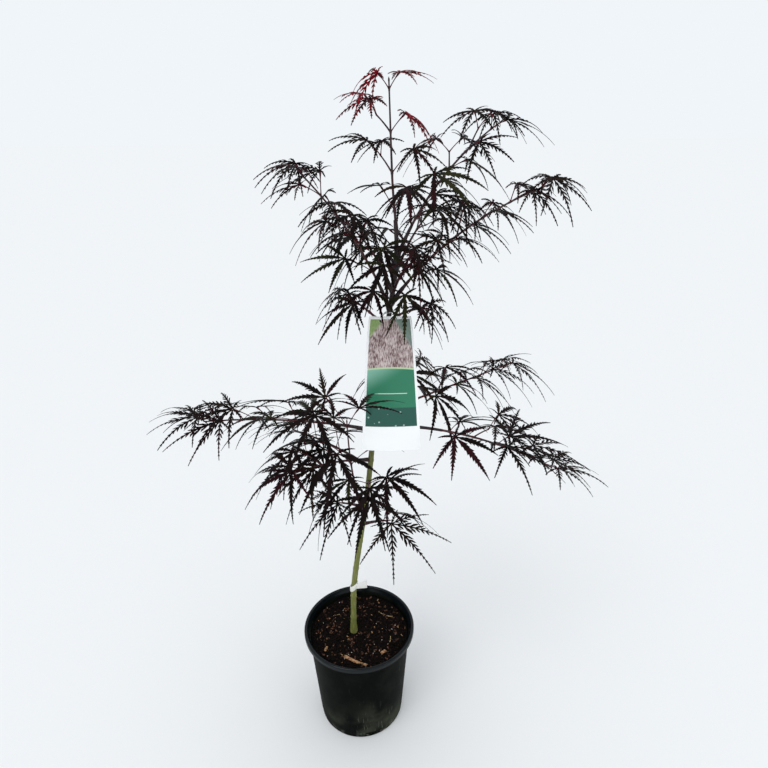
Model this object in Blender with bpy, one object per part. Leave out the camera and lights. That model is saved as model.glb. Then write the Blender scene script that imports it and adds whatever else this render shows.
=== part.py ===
# A young weeping cut-leaf maple in a round nursery pot, with its hanging card and stem ties.
# Metres, +Z up. The origin is the middle of the pot's flat underside, and -Y is the side that is seen.
import math
from collections import namedtuple

import bmesh
import bpy
import numpy as np
from mathutils import Vector

MM = 0.001
CLEAR = 0.3 * MM

# Pot: a thin moulded wall under a rolled lip
POT_HEIGHT = 165 * MM
LIP_RADIUS = 82.5 * MM
WALL_TOP_RADIUS = 75 * MM
WALL_FOOT_RADIUS = 64 * MM
POT_WALL = 1.6 * MM
POT_FLOOR = 4.5 * MM
FOOT_ROUND = 3 * MM
BAND_FOOT = 150 * MM
BAND_HEIGHT = 6 * MM
BAND_PROUD = 2.7 * MM
LIP_FOOT = 157.5 * MM
LIP_ROLL = 2.3 * MM
ROLL_STEPS = 4
LIP_INNER_DEPTH = 5 * MM
EDGE = 0.5 * MM
DRAIN_HOLES = 4
DRAIN_WIDTH = 26 * MM
DRAIN_HEIGHT = 9 * MM
DRAIN_FOOT = 1.5 * MM
DRAIN_FIRST = 0.2
CUTTER_REACH = 20 * MM
POT_SIDES = 36

# Soil: fills the pot to a little under its lip
SOIL_TOP = 152 * MM

# Stem: height, x, y and radius at the stations that its curve passes through
Station = namedtuple("Station", "height x y radius")
STEM = (
    Station(152.3 * MM, -8.5 * MM, 0.0 * MM, 5.8 * MM),
    Station(172 * MM, -8.2 * MM, 0.2 * MM, 4.4 * MM),
    Station(240 * MM, -5.2 * MM, 1.0 * MM, 4.0 * MM),
    Station(320 * MM, 5.8 * MM, 1.5 * MM, 3.8 * MM),
    Station(390 * MM, 16.8 * MM, 0.5 * MM, 3.7 * MM),
    Station(560 * MM, 35.5 * MM, -1.5 * MM, 3.3 * MM),
    Station(717 * MM, 58.0 * MM, 0.0 * MM, 2.6 * MM),
    Station(800 * MM, 54.2 * MM, 1.5 * MM, 1.8 * MM),
    Station(890 * MM, 51.5 * MM, 0.0 * MM, 0.9 * MM),
)
FORK_HEIGHT = 717 * MM
STEM_SIDES = 12
STEM_STEP = 24 * MM

# Shoots: foot is the height where each leaves the stem; heading is in plan, 0 to the right and 90 to the
# back; rise and fall are its slopes at foot and tip; roll and turn set how its leaf pairs cross each other
Shoot = namedtuple("Shoot", "name foot heading rise fall length bare pairs roll turn leaf stalk pitch seed")
SHOOTS = (
    Shoot("leader", 717, 0, 90, 90, 176, 40, 4, 55, -25, 52, 31, 20, 373),
    Shoot("upper_right", 711, 19, 68, 32, 186, 44, 5, -30, 90, 64, 28, 24, 524),
    Shoot("right", 662, -14, 56, 22, 214, 36, 6, 80, 90, 58, 25, 32, 363),
    Shoot("left", 655, 200, 70, 46, 184, 42, 6, 100, 90, 58, 28, 22, 609),
    Shoot("left_short", 632, 210, 50, 36, 70, 24, 2, 90, 90, 56, 24, 32, 887),
    Shoot("right_short", 640, -36, 42, 10, 58, 22, 2, 80, 90, 52, 18, 46, 393),
    Shoot("back_left", 676, 128, 58, 16, 118, 36, 3, -30, 90, 58, 23, 38, 880),
    Shoot("back_right", 690, 58, 55, 18, 112, 34, 3, 0, 90, 58, 30, 16, 517),
    Shoot("front", 671, -70, 56, 22, 88, 30, 2, 0, 90, 56, 22, 40, 217),
    Shoot("low_back_right", 518, 25, 10, 8, 200, 52, 5, 10, 90, 78, 28, 30, 916),
    Shoot("low_right", 503, -15, 9, -24, 224, 88, 5, 10, 90, 76, 26, 8, 659),
    Shoot("low_left", 496, 188, 17, 0, 206, 56, 5, -20, 90, 82, 32, 14, 156),
    Shoot("riser", 360, 246, 66, 88, 170, 42, 3, 0, 20, 74, 56, -26, 304),
    Shoot("low_left_front", 452, 202, 16, -10, 100, 34, 3, -30, 90, 80, 27, 34, 101),
    Shoot("low_front", 416, -88, 38, 6, 84, 28, 2, 0, 90, 76, 26, 20, 384),
    Shoot("low_back", 532, 64, 16, 0, 122, 48, 3, 10, 90, 76, 24, 32, 161),
    Shoot("low_back_left", 440, 144, 16, -4, 138, 50, 3, -20, 90, 78, 30, 14, 102),
    Shoot("foot_left", 376, 196, 30, 16, 40, 22, 1, -10, 90, 82, 28, 40, 438),
    Shoot("foot_right", 348, -4, 20, 4, 36, 22, 1, 0, 90, 102, 22, 30, 400),
)
BOUGH_SWELL = 0.006
BOUGH_STEP = 8 * MM
BOUGH_SIDES = 6
BOUGH_ROOM = 2.2 * MM
CUT_BELOW = 60 * MM
CUT_ABOVE = 45 * MM
CUT_LAP = 5 * MM
TWIG_STEP = 22 * MM
TWIG_SIDES = 3
TWIG_ROOT_RADIUS = 1.5 * MM
TWIG_TIP_RADIUS = 0.8 * MM
BOUGH_TIP_RADIUS = 1.7 * MM
FIRST_PAIR = 9 * MM
LAST_PAIR = 7 * MM
FORK_RADII = (0.96 * MM, TWIG_TIP_RADIUS)
STALK_RADIUS = 0.6 * MM
STALK_RADII = (0.69 * MM, 0.3 * MM)
STALK_SINK = 0.3 * MM
FORK_CHANCE = 0.12
FORK_LENGTH = 22 * MM
FORK_SHRINK = 0.86
FORK_LEAN = 0.9
FORK_LIFT = 0.25
FORK_YOUTH = 0.6
PAIR_JITTER = 14
PAIR_FLATNESS = 0.7

# How a stalk leaves its shoot: its lift, its lean along the shoot, and its length from first pair to last
STALK_LIFT = 0.38
STALK_LIFT_BELOW = 0.8
STALK_LEAN = 0.4
STALK_LEAN_GAIN = 0.5
STALK_LONG = 1.1
STALK_LOSS = 0.35
STALK_VARY = (0.75, 1.15)

# How a blade hangs: spreads in degrees of its heading, pitch and tilt, and ranges of its size and droop
BLADE_FOLLOW = 0.35
HEADING_SPREAD = 24
PITCH_SPREAD = 18
TILT_SPREAD = 30
SIZE_VARY = (0.88, 1.1)
SIZE_FIRST = 1.04
SIZE_LOSS = 0.08
DROOP = (0.05, 0.27)
LOBE_DRAWS = 7
LOBE_TURN = 6
LOBE_VARY = (0.92, 1.06)

# Leaves: lobes fan out from the stalk's tip; angle from the middle lobe and length against it
LOBES = ((0, 1.0), (37, 0.93), (-37, 0.93), (76, 0.72), (-76, 0.72))
LOBE_WIDTH = 0.15
LOBE_WIDEST = 0.45
LOBE_THICKNESS = 0.0256
LOBE_SHORTEN = 0.12
LOBE_ARCH = 0.22
LOBE_TEST_WIDTH = 0.06
RIB_LEAST = 1.2 * MM
HUB_RADIUS = 2.2 * MM
HUB_HALF = 1.5 * MM
LEAF_ROOM = 1.2 * MM
NEARBY = 15 * MM
SAMPLE_GAP = 4 * MM

# Card: hangs in front of the stem by a thin loop through a hole in its head
CARD_HEAD = Vector((0.0505, -0.013, 0.651))
CARD_LENGTH = 163 * MM
CARD_HEAD_HALF = 24 * MM
CARD_FOOT_HALF = 36 * MM
CARD_THICKNESS = 0.8 * MM
CARD_LEAN = 11
CARD_HOLE_RADIUS = 2.4 * MM
CARD_HOLE_DROP = 5 * MM
CARD_HOLE_ACROSS = -10 * MM
CARD_CURL = 4 * MM
CARD_WIDENING = 0.7
CARD_ROWS = 8
CARD_COLUMNS = 6
LOOP_HEIGHT = 652 * MM
LOOP_WIRE = 0.6 * MM

# Ties: narrow bands round the stem
TIE_HEIGHTS = {"tie_white": 238 * MM, "tie_black": 705 * MM}
TIE_WIDTH = 9 * MM
TIE_THICKNESS = 0.9 * MM
TIE_SIDES = 14


def unit(v):
    return v / np.linalg.norm(v)


UP = np.array([0.0, 0.0, 1.0])


def stem_at(height):
    """Centre and radius of the stem at a height, by a smooth curve through its stations."""
    heights = [s.height for s in STEM]
    i = min(max(int(np.searchsorted(heights, height)) - 1, 0), len(STEM) - 2)

    def slope(k):
        low = STEM[max(k - 1, 0)]
        high = STEM[min(k + 1, len(STEM) - 1)]
        return (np.array(high[1:]) - np.array(low[1:])) / (high.height - low.height)

    span = heights[i + 1] - heights[i]
    t = (height - heights[i]) / span
    here = np.array(STEM[i][1:])
    there = np.array(STEM[i + 1][1:])
    value = (2 * t**3 - 3 * t**2 + 1) * here + (t**3 - 2 * t**2 + t) * span * slope(i)
    value = value + (-2 * t**3 + 3 * t**2) * there + (t**3 - t**2) * span * slope(i + 1)
    return np.array([value[0], value[1], height]), float(value[2])


def direction(heading, slope):
    """Unit vector from a heading in plan and a slope above the level, in degrees."""
    h = math.radians(heading)
    s = math.radians(slope)
    return np.array([math.cos(h) * math.cos(s), math.sin(h) * math.cos(s), math.sin(s)])


def shoot_path(shoot, steps=20):
    """Points along a shoot, from the stem's middle out; its slope turns evenly from rise to fall."""
    length = shoot.length * MM
    if shoot.name == "leader":
        return np.array([stem_at(FORK_HEIGHT + length * k / steps)[0] for k in range(steps + 1)])
    points = [stem_at(shoot.foot * MM)[0]]
    for k in range(steps):
        slope = shoot.rise + (shoot.fall - shoot.rise) * (k + 0.5) / steps
        points.append(points[-1] + direction(shoot.heading, slope) * length / steps)
    return np.array(points)


def along(path, distance):
    """Point and direction at a distance along a path."""
    spans = np.linalg.norm(np.diff(path, axis=0), axis=1)
    reached = np.concatenate([[0.0], np.cumsum(spans)])
    distance = min(max(distance, 0.0), reached[-1])
    i = min(int(np.searchsorted(reached, distance, side="right")) - 1, len(spans) - 1)
    step = path[i + 1] - path[i]
    return path[i] + (distance - reached[i]) / spans[i] * step, unit(step)


def stretch(path, start, end, steps):
    """Evenly spaced points of a path between two distances."""
    return np.array([along(path, start + (end - start) * k / steps)[0] for k in range(steps + 1)])


Leaf = namedtuple("Leaf", "root hub ahead normal size droop lobes")


def make_leaf(rng, shoot, node, tangent, out, fraction, shrink):
    """One leaf: its stalk leaves the node outwards and upwards, and its blade droops from the hub."""
    lift = STALK_LIFT if out[2] > -0.5 else STALK_LIFT_BELOW
    lean = STALK_LEAN + STALK_LEAN_GAIN * fraction
    stalk_way = unit(out + lean * tangent + lift * UP)
    stalk = shoot.stalk * MM * (STALK_LONG - STALK_LOSS * fraction) * rng.uniform(*STALK_VARY)
    hub = node + stalk_way * stalk
    level = (stalk_way + BLADE_FOLLOW * tangent) * np.array([1.0, 1.0, 0.0])
    heading = math.degrees(math.atan2(level[1], level[0])) + rng.uniform(-HEADING_SPREAD, HEADING_SPREAD)
    ahead = direction(heading, -(shoot.pitch + rng.uniform(-PITCH_SPREAD, PITCH_SPREAD)))
    across = unit(np.cross(UP, ahead))
    tilt = math.radians(rng.uniform(-TILT_SPREAD, TILT_SPREAD))
    normal = math.cos(tilt) * np.cross(ahead, across) + math.sin(tilt) * across
    size = shoot.leaf * MM * rng.uniform(*SIZE_VARY) * shrink
    droop = rng.uniform(*DROOP)
    turns = rng.uniform(-LOBE_TURN, LOBE_TURN, LOBE_DRAWS)
    lengths = rng.uniform(*LOBE_VARY, LOBE_DRAWS)
    return Leaf(node, hub, ahead, normal, size, droop, tuple(zip(turns, lengths)))


def shoot_leaves(shoot, path):
    """Opposite leaves in pairs, each pair turned against the last; some nodes bear a short side twig."""
    rng = np.random.default_rng(shoot.seed)
    leaves = []
    twigs = []
    first = shoot.bare * MM + FIRST_PAIR
    last = shoot.length * MM - LAST_PAIR
    for k in range(shoot.pairs):
        fraction = k / (shoot.pairs - 1) if shoot.pairs > 1 else 1.0
        node, tangent = along(path, first + (last - first) * fraction)
        level = np.cross(tangent, UP)
        level = unit(level) if np.linalg.norm(level) > 0.2 else np.array([1.0, 0.0, 0.0])
        over = np.cross(level, tangent)
        shrink = SIZE_FIRST - SIZE_LOSS * fraction
        for side in (1, -1):
            turn = math.radians(shoot.roll + shoot.turn * k + rng.uniform(-PAIR_JITTER, PAIR_JITTER))
            out = side * (math.cos(turn) * level + PAIR_FLATNESS * math.sin(turn) * over)
            forked = rng.uniform() < FORK_CHANCE and 0 < k < shoot.pairs - 1
            if not forked:
                leaves.append(make_leaf(rng, shoot, node, tangent, out, fraction, shrink))
                continue
            way = unit(out + FORK_LEAN * tangent + FORK_LIFT * UP)
            tip = node + way * FORK_LENGTH
            twigs.append((node, tip))
            spread = unit(np.cross(way, UP))
            for fork in (1, -1):
                out = fork * spread
                leaves.append(make_leaf(rng, shoot, tip, way, out, FORK_YOUTH, FORK_SHRINK * shrink))
    return leaves, twigs


def lobe_curve(leaf, index, shares):
    """Points on a lobe's midrib at shares of its length: out from the hub, then drooping."""
    angle, length = LOBES[index]
    turn, vary = leaf.lobes[index]
    a = math.radians(angle + turn)
    way = math.cos(a) * leaf.ahead + math.sin(a) * np.cross(leaf.normal, leaf.ahead)
    s = np.asarray(shares)[:, None]
    reach = leaf.size * length * vary
    arch = LOBE_ARCH * s * (1 - s) * leaf.normal
    return leaf.hub + reach * (s * (1 - LOBE_SHORTEN * s) * way + arch - leaf.droop * s**2 * UP)


def spaced(start, end, gap=SAMPLE_GAP):
    """Points along a straight stretch, no further apart than a gap."""
    count = max(2, int(math.ceil(np.linalg.norm(end - start) / gap)) + 1)
    return start + np.linspace(0, 1, count)[:, None] * (end - start)


def room(points, radius, others):
    """Least clearance between points of one radius and others, given as rows of x, y, z and radius."""
    low = points.min(axis=0) - NEARBY
    high = points.max(axis=0) + NEARBY
    near = others[np.all((others[:, :3] > low) & (others[:, :3] < high), axis=1)]
    if not len(near):
        return NEARBY
    apart = np.linalg.norm(points[:, None, :] - near[None, :, :3], axis=2)
    return float(np.min(apart - near[None, :, 3])) - radius


def with_radius(points, radius):
    return np.column_stack([points, np.full(len(points), radius)])


def card_point(down, across, out=0.0):
    """A place on the card: down from its head, across from its middle, and out from its face."""
    lean = math.radians(CARD_LEAN)
    base = np.array(CARD_HEAD)
    curl = CARD_CURL * (across / CARD_FOOT_HALF) ** 2
    front = -math.sin(lean) * down + math.cos(lean) * (curl - out)
    return base + np.array([across, front, -math.cos(lean) * down - math.sin(lean) * (curl - out)])


def card_half(down):
    return CARD_HEAD_HALF + (CARD_FOOT_HALF - CARD_HEAD_HALF) * (down / CARD_LENGTH) ** CARD_WIDENING


def grow_crown():
    """Every shoot's path, side twigs, leaf stalks and lobes, leaving out what would touch something else."""
    paths = {shoot.name: shoot_path(shoot) for shoot in SHOOTS}
    fixed = []
    for height in np.arange(SOIL_TOP, FORK_HEIGHT, SAMPLE_GAP):
        centre, radius = stem_at(height)
        fixed.append(np.append(centre, radius))
    for down in np.linspace(0, CARD_LENGTH, 40):
        for share in np.linspace(-1, 1, 19):
            fixed.append(np.append(card_point(down, share * card_half(down)), 1.5 * CARD_THICKNESS))
    fixed = np.array(fixed)
    boughs = {}
    stems = {}
    for shoot in SHOOTS:
        path = paths[shoot.name]
        bare = stretch(path, 0, shoot.bare * MM, 30)
        leafy = stretch(path, shoot.bare * MM, shoot.length * MM, 60)
        boughs[shoot.name] = with_radius(bare, BOUGH_ROOM)
        stems[shoot.name] = with_radius(leafy, TWIG_ROOT_RADIUS)
    limbs = np.vstack([fixed] + list(boughs.values()))
    grown = {}
    taken = np.zeros((0, 4))
    for shoot in SHOOTS:
        strangers = [rows for name, rows in stems.items() if name != shoot.name]
        others = np.vstack([limbs, taken] + strangers)
        leaves, twigs = shoot_leaves(shoot, paths[shoot.name])
        kept_twigs = []
        rows = []
        for root, tip in twigs:
            points = spaced(root, tip)
            if room(points[2:], STALK_RADIUS, others) > LEAF_ROOM:
                kept_twigs.append((root, tip))
                rows.append(with_radius(points, TWIG_TIP_RADIUS))
        kept = []
        for leaf in leaves:
            on_fork = any(np.allclose(leaf.root, tip) for root, tip in twigs)
            if on_fork and not any(np.allclose(leaf.root, tip) for root, tip in kept_twigs):
                continue
            stalk = spaced(leaf.root, leaf.hub)
            if room(stalk[1:], STALK_RADIUS, others) < LEAF_ROOM:
                continue
            lobes = []
            for index in range(len(LOBES)):
                curve = lobe_curve(leaf, index, np.linspace(0.04, 1, 22))
                wide = LOBE_TEST_WIDTH * leaf.size
                if room(curve, wide, others) > LEAF_ROOM:
                    lobes.append(index)
                    rows.append(with_radius(curve, wide))
            if len(lobes) > 1:
                kept.append((leaf, lobes))
                rows.append(with_radius(stalk, STALK_RADIUS))
        grown[shoot.name] = (kept, kept_twigs)
        taken = np.vstack([taken] + rows)
    return paths, grown


def named_material(name, colour, roughness):
    material = bpy.data.materials.new(name)
    material.use_nodes = True
    shader = material.node_tree.nodes["Principled BSDF"]
    shader.inputs["Base Color"].default_value = (*colour, 1.0)
    shader.inputs["Roughness"].default_value = roughness
    shader.inputs["Metallic"].default_value = 0.0
    return material


def add_object(name, verts, faces, material=None):
    mesh = bpy.data.meshes.new(name)
    mesh.from_pydata([tuple(v) for v in verts], [], faces)
    if material:
        mesh.materials.append(material)
    piece = bpy.data.objects.new(name, mesh)
    bpy.context.scene.collection.objects.link(piece)
    return piece


def tube(path, radii, sides):
    """A closed tapering tube along a path, with flat ends."""
    path = np.asarray(path)
    count = len(path)
    ways = [unit(path[min(i + 1, count - 1)] - path[max(i - 1, 0)]) for i in range(count)]
    across = unit(np.cross(ways[0], UP)) if abs(ways[0][2]) < 0.95 else np.array([1.0, 0.0, 0.0])
    verts = []
    for i in range(count):
        across = unit(across - np.dot(across, ways[i]) * ways[i])
        beside = np.cross(ways[i], across)
        for k in range(sides):
            a = 2 * math.pi * k / sides
            verts.append(path[i] + radii[i] * (math.cos(a) * across + math.sin(a) * beside))
    faces = [tuple(range(sides - 1, -1, -1)), tuple(range((count - 1) * sides, count * sides))]
    for i in range(count - 1):
        for k in range(sides):
            n = (k + 1) % sides
            faces.append((i * sides + k, i * sides + n, (i + 1) * sides + n, (i + 1) * sides + k))
    return verts, faces


def leaf_blade(leaf, lobes):
    """One leaf as a closed star: each lobe a bent lozenge with a raised midrib, ten faces."""
    bearings = sorted((LOBES[i][0] + leaf.lobes[i][0], i) for i in lobes)
    side = np.cross(leaf.normal, leaf.ahead)
    verts = [leaf.hub + HUB_HALF * leaf.normal, leaf.hub - HUB_HALF * leaf.normal]
    for _, index in bearings:
        waist, tip = lobe_curve(leaf, index, (LOBE_WIDEST, 1.0))
        level = unit(np.cross(leaf.normal, tip - leaf.hub))
        half = 0.5 * LOBE_WIDTH * leaf.size * (0.6 + 0.4 * LOBES[index][1])
        rib = waist + max(LOBE_THICKNESS * leaf.size, RIB_LEAST) * leaf.normal
        verts += [tip, waist + half * level, waist - half * level, rib]
    count = len(bearings)
    for k, (bearing, _) in enumerate(bearings):
        following = bearings[(k + 1) % count][0] + (360 if k == count - 1 else 0)
        a = math.radians(0.5 * (bearing + following))
        verts.append(leaf.hub + HUB_RADIUS * (math.cos(a) * leaf.ahead + math.sin(a) * side))
    faces = []
    for k in range(count):
        tip, left, right, rib = range(2 + 4 * k, 6 + 4 * k)
        before = 2 + 4 * count + (k - 1) % count
        after = 2 + 4 * count + k
        faces += [(tip, left, rib), (tip, rib, right), (left, after, rib), (right, rib, before)]
        faces += [(after, 0, rib), (before, rib, 0)]
        faces += [(tip, right, left), (left, right, before), (left, before, after), (after, before, 1)]
    return verts, faces


def join_apart(name, shapes):
    """Several closed shapes in a collection of their own, each as one object."""
    collection = bpy.data.collections.new(name)
    bpy.context.scene.collection.children.link(collection)
    for i, (verts, faces) in enumerate(shapes):
        piece = add_object(f"{name}_{i}", verts, faces)
        bpy.context.scene.collection.objects.unlink(piece)
        collection.objects.link(piece)
    return collection


def drop_collection(collection):
    for piece in list(collection.objects):
        mesh = piece.data
        bpy.data.objects.remove(piece)
        bpy.data.meshes.remove(mesh)
    bpy.data.collections.remove(collection)


def apply_boolean(piece, operation, collection, solver="EXACT"):
    """The piece's mesh after one Boolean with a collection."""
    modifier = piece.modifiers.new("join", "BOOLEAN")
    modifier.operation = operation
    modifier.operand_type = "COLLECTION"
    modifier.collection = collection
    modifier.solver = solver
    depsgraph = bpy.context.evaluated_depsgraph_get()
    depsgraph.update()
    result = bpy.data.meshes.new_from_object(piece.evaluated_get(depsgraph))
    piece.modifiers.remove(modifier)
    return result


def keep_largest(mesh):
    """Drop loose scraps and fill sealed hollows: only the body of greatest volume stays."""
    bm = bmesh.new()
    bm.from_mesh(mesh)
    bmesh.ops.triangulate(bm, faces=bm.faces)
    seen = set()
    bodies = []
    for start in bm.faces:
        if start in seen:
            continue
        seen.add(start)
        body = [start]
        for face in body:
            for edge in face.edges:
                for other in edge.link_faces:
                    if other not in seen:
                        seen.add(other)
                        body.append(other)
        bodies.append(body)

    def volume(body):
        return sum(f.verts[0].co.dot(f.verts[1].co.cross(f.verts[2].co)) for f in body) / 6

    largest = max(bodies, key=volume)
    spare = [f for body in bodies if body is not largest for f in body]
    bmesh.ops.delete(bm, geom=spare, context="FACES")
    bmesh.ops.delete(bm, geom=[v for v in bm.verts if not v.link_faces], context="VERTS")
    closed = all(len(edge.link_faces) == 2 for edge in bm.edges)
    bm.to_mesh(mesh)
    bm.free()
    return closed


def fuse(piece, collection, operation="UNION"):
    """Join or cut a piece by EXACT, or by MANIFOLD where EXACT leaves it open."""
    for solver in ("EXACT", "MANIFOLD"):
        mesh = apply_boolean(piece, operation, collection, solver)
        if keep_largest(mesh):
            break
    old = piece.data
    piece.data = mesh
    bpy.data.meshes.remove(old)
    drop_collection(collection)


def foliage(shoot, path, grown, material):
    """One mass: the leafy end of a shoot with its side twigs, stalks and leaves fused on."""
    leaves, twigs = grown
    start = shoot.bare * MM + CLEAR
    end = shoot.length * MM
    steps = max(3, int((end - start) / TWIG_STEP))
    radii = np.linspace(TWIG_ROOT_RADIUS, TWIG_TIP_RADIUS, steps + 1)
    stem = tube(stretch(path, start, end, steps), radii, TWIG_SIDES)
    piece = add_object("foliage_" + shoot.name, *stem, material)
    shapes = []
    for root, tip in twigs:
        reach = unit(tip - root)
        shapes.append(tube([root - STALK_SINK * reach, tip], FORK_RADII, TWIG_SIDES))
    for leaf, lobes in leaves:
        reach = unit(leaf.hub - leaf.root)
        ends = [leaf.root - STALK_SINK * reach, leaf.hub - STALK_SINK * reach]
        shapes.append(tube(ends, STALK_RADII, TWIG_SIDES))
        shapes.append(leaf_blade(leaf, lobes))
    fuse(piece, join_apart("leaves_" + shoot.name, shapes))
    return piece


def trunk_tube(low, high, spare=0.0, sides=STEM_SIDES):
    """A stretch of the stem between two heights, made fatter by a spare gap where it cuts another limb."""
    count = max(2, int((high - low) / STEM_STEP))
    stations = [stem_at(height) for height in np.linspace(low, high, count + 1)]
    return tube([p for p, r in stations], [r + spare for p, r in stations], sides)


def bough(shoot, path, material):
    """The leafless foot of a shoot, one tapering limb, cut to the stem that it grows from."""
    root_radius = TWIG_ROOT_RADIUS + BOUGH_SWELL * shoot.length * MM
    steps = max(3, int(shoot.bare * MM / BOUGH_STEP))
    radii = np.linspace(root_radius, BOUGH_TIP_RADIUS, steps + 1)
    line = stretch(path, 0.0, shoot.bare * MM, steps)
    piece = add_object("bough_" + shoot.name, *tube(line, radii, BOUGH_SIDES), material)
    shapes = [trunk_tube(max(SOIL_TOP, shoot.foot * MM - CUT_BELOW), FORK_HEIGHT + CLEAR, CLEAR)]
    if shoot.name == "upper_right":
        shapes.append(trunk_tube(FORK_HEIGHT - CUT_LAP, FORK_HEIGHT + CUT_ABOVE, CLEAR))
    fuse(piece, join_apart("cut_" + shoot.name, shapes), "DIFFERENCE")
    return piece


def turned(name, profile, material, sides=POT_SIDES):
    """A solid turned round the upright axis from a profile that starts and ends on the axis."""
    verts = []
    rings = []
    for radius, height in profile:
        if radius == 0:
            rings.append([len(verts)])
            verts.append((0, 0, height))
            continue
        rings.append(list(range(len(verts), len(verts) + sides)))
        for k in range(sides):
            a = 2 * math.pi * k / sides
            verts.append((radius * math.cos(a), radius * math.sin(a), height))
    faces = []
    for low, high in zip(rings, rings[1:]):
        for k in range(sides):
            n = (k + 1) % sides
            if len(low) == 1:
                faces.append((low[0], high[n], high[k]))
            elif len(high) == 1:
                faces.append((low[k], low[n], high[0]))
            else:
                faces.append((low[k], low[n], high[n], high[k]))
    piece = add_object(name, verts, faces, material)
    piece.data.shade_smooth()
    piece.data.set_sharp_from_angle(angle=math.radians(35))
    return piece


def wall_radius(height):
    """Outer radius of the pot's tapering wall."""
    share = height / BAND_FOOT
    return WALL_FOOT_RADIUS + (WALL_TOP_RADIUS - WALL_FOOT_RADIUS) * share


def build_pot(material):
    """Thin tapering wall, a low band and a rolled lip, with drain holes round its lower edge."""
    band = WALL_TOP_RADIUS + BAND_PROUD
    inner = WALL_TOP_RADIUS - POT_WALL
    middle = (LIP_RADIUS - LIP_ROLL, POT_HEIGHT - LIP_ROLL)
    turns = [math.pi * k / ROLL_STEPS for k in range(ROLL_STEPS + 1)]
    roll = [(middle[0] + LIP_ROLL * math.cos(a), middle[1] + LIP_ROLL * math.sin(a)) for a in turns]
    profile = [
        (0, 0),
        (WALL_FOOT_RADIUS - FOOT_ROUND, 0),
        (WALL_FOOT_RADIUS, FOOT_ROUND),
        (WALL_TOP_RADIUS, BAND_FOOT),
        (band - EDGE, BAND_FOOT + EDGE),
        (band, BAND_FOOT + BAND_HEIGHT - EDGE),
        (band - EDGE, BAND_FOOT + BAND_HEIGHT + EDGE),
        (LIP_RADIUS - EDGE, LIP_FOOT),
        *roll,
        (inner + LIP_ROLL, POT_HEIGHT - LIP_INNER_DEPTH),
        (inner, BAND_FOOT),
        (wall_radius(POT_FLOOR) - POT_WALL, POT_FLOOR),
        (0, POT_FLOOR),
    ]
    pot = turned("pot", profile, material)
    cutters = []
    for k in range(DRAIN_HOLES):
        a = 2 * math.pi * (k + DRAIN_FIRST) / DRAIN_HOLES
        out = np.array([math.cos(a), math.sin(a), 0.0])
        side = np.array([-math.sin(a), math.cos(a), 0.0]) * DRAIN_WIDTH / 2
        near = WALL_FOOT_RADIUS - 2 * POT_WALL
        far = near + CUTTER_REACH
        corners = []
        for height in (DRAIN_FOOT, DRAIN_FOOT + DRAIN_HEIGHT):
            for reach, sign in ((near, -1), (far, -1), (far, 1), (near, 1)):
                corners.append(reach * out + sign * side + height * UP)
        faces = [(3, 2, 1, 0), (4, 5, 6, 7), (0, 1, 5, 4), (1, 2, 6, 5), (2, 3, 7, 6), (3, 0, 4, 7)]
        cutters.append((corners, faces))
    fuse(pot, join_apart("drain_holes", cutters), "DIFFERENCE")
    pot.data.shade_smooth()
    pot.data.set_sharp_from_angle(angle=math.radians(35))
    return pot


def build_soil(material):
    """The soil plug, a hair clear of the pot's wall and floor."""
    low = wall_radius(POT_FLOOR) - POT_WALL - CLEAR
    inner = WALL_TOP_RADIUS - POT_WALL - CLEAR
    foot = POT_FLOOR + CLEAR
    profile = [(0, foot), (low, foot), (inner, BAND_FOOT), (inner, SOIL_TOP), (0, SOIL_TOP)]
    return turned("soil", profile, material)


def build_card(material):
    """A curled plastic card that widens downwards, with a hole in its head."""
    rows = CARD_ROWS
    columns = CARD_COLUMNS
    verts = []
    for out in (0.0, CARD_THICKNESS):
        for i in range(rows + 1):
            down = CARD_LENGTH * i / rows
            for k in range(columns + 1):
                verts.append(card_point(down, card_half(down) * (2 * k / columns - 1), out))
    layer = (rows + 1) * (columns + 1)
    width = columns + 1
    faces = []
    for i in range(rows):
        for k in range(columns):
            a = i * width + k
            faces.append((a, a + 1, a + width + 1, a + width))
            faces.append((layer + a, layer + a + width, layer + a + width + 1, layer + a + 1))
    rim = list(range(width))
    rim += [i * width + columns for i in range(1, rows + 1)]
    rim += [rows * width + k for k in range(columns - 1, -1, -1)]
    rim += [i * width for i in range(rows - 1, 0, -1)]
    for a, b in zip(rim, rim[1:] + rim[:1]):
        faces.append((a, layer + a, layer + b, b))
    card = add_object("card", verts, faces, material)
    axis = [card_point(CARD_HOLE_DROP, CARD_HOLE_ACROSS, out) for out in (-3 * MM, 4 * MM)]
    hole = tube(axis, [CARD_HOLE_RADIUS] * 2, 12)
    fuse(card, join_apart("card_hole", [hole]), "DIFFERENCE")
    return card


def smooth_ring(knots, steps):
    """Points of a smooth closed curve through its knots."""
    count = len(knots)
    points = []
    for i in range(count):
        before, here, there, after = (knots[(i + k - 1) % count] for k in range(4))
        for t in np.linspace(0, 1, steps, endpoint=False):
            bend = (2 * before - 5 * here + 4 * there - after) * t**2
            twist = (3 * here - before - 3 * there + after) * t**3
            points.append(0.5 * (2 * here + (there - before) * t + bend + twist))
    return points


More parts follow.
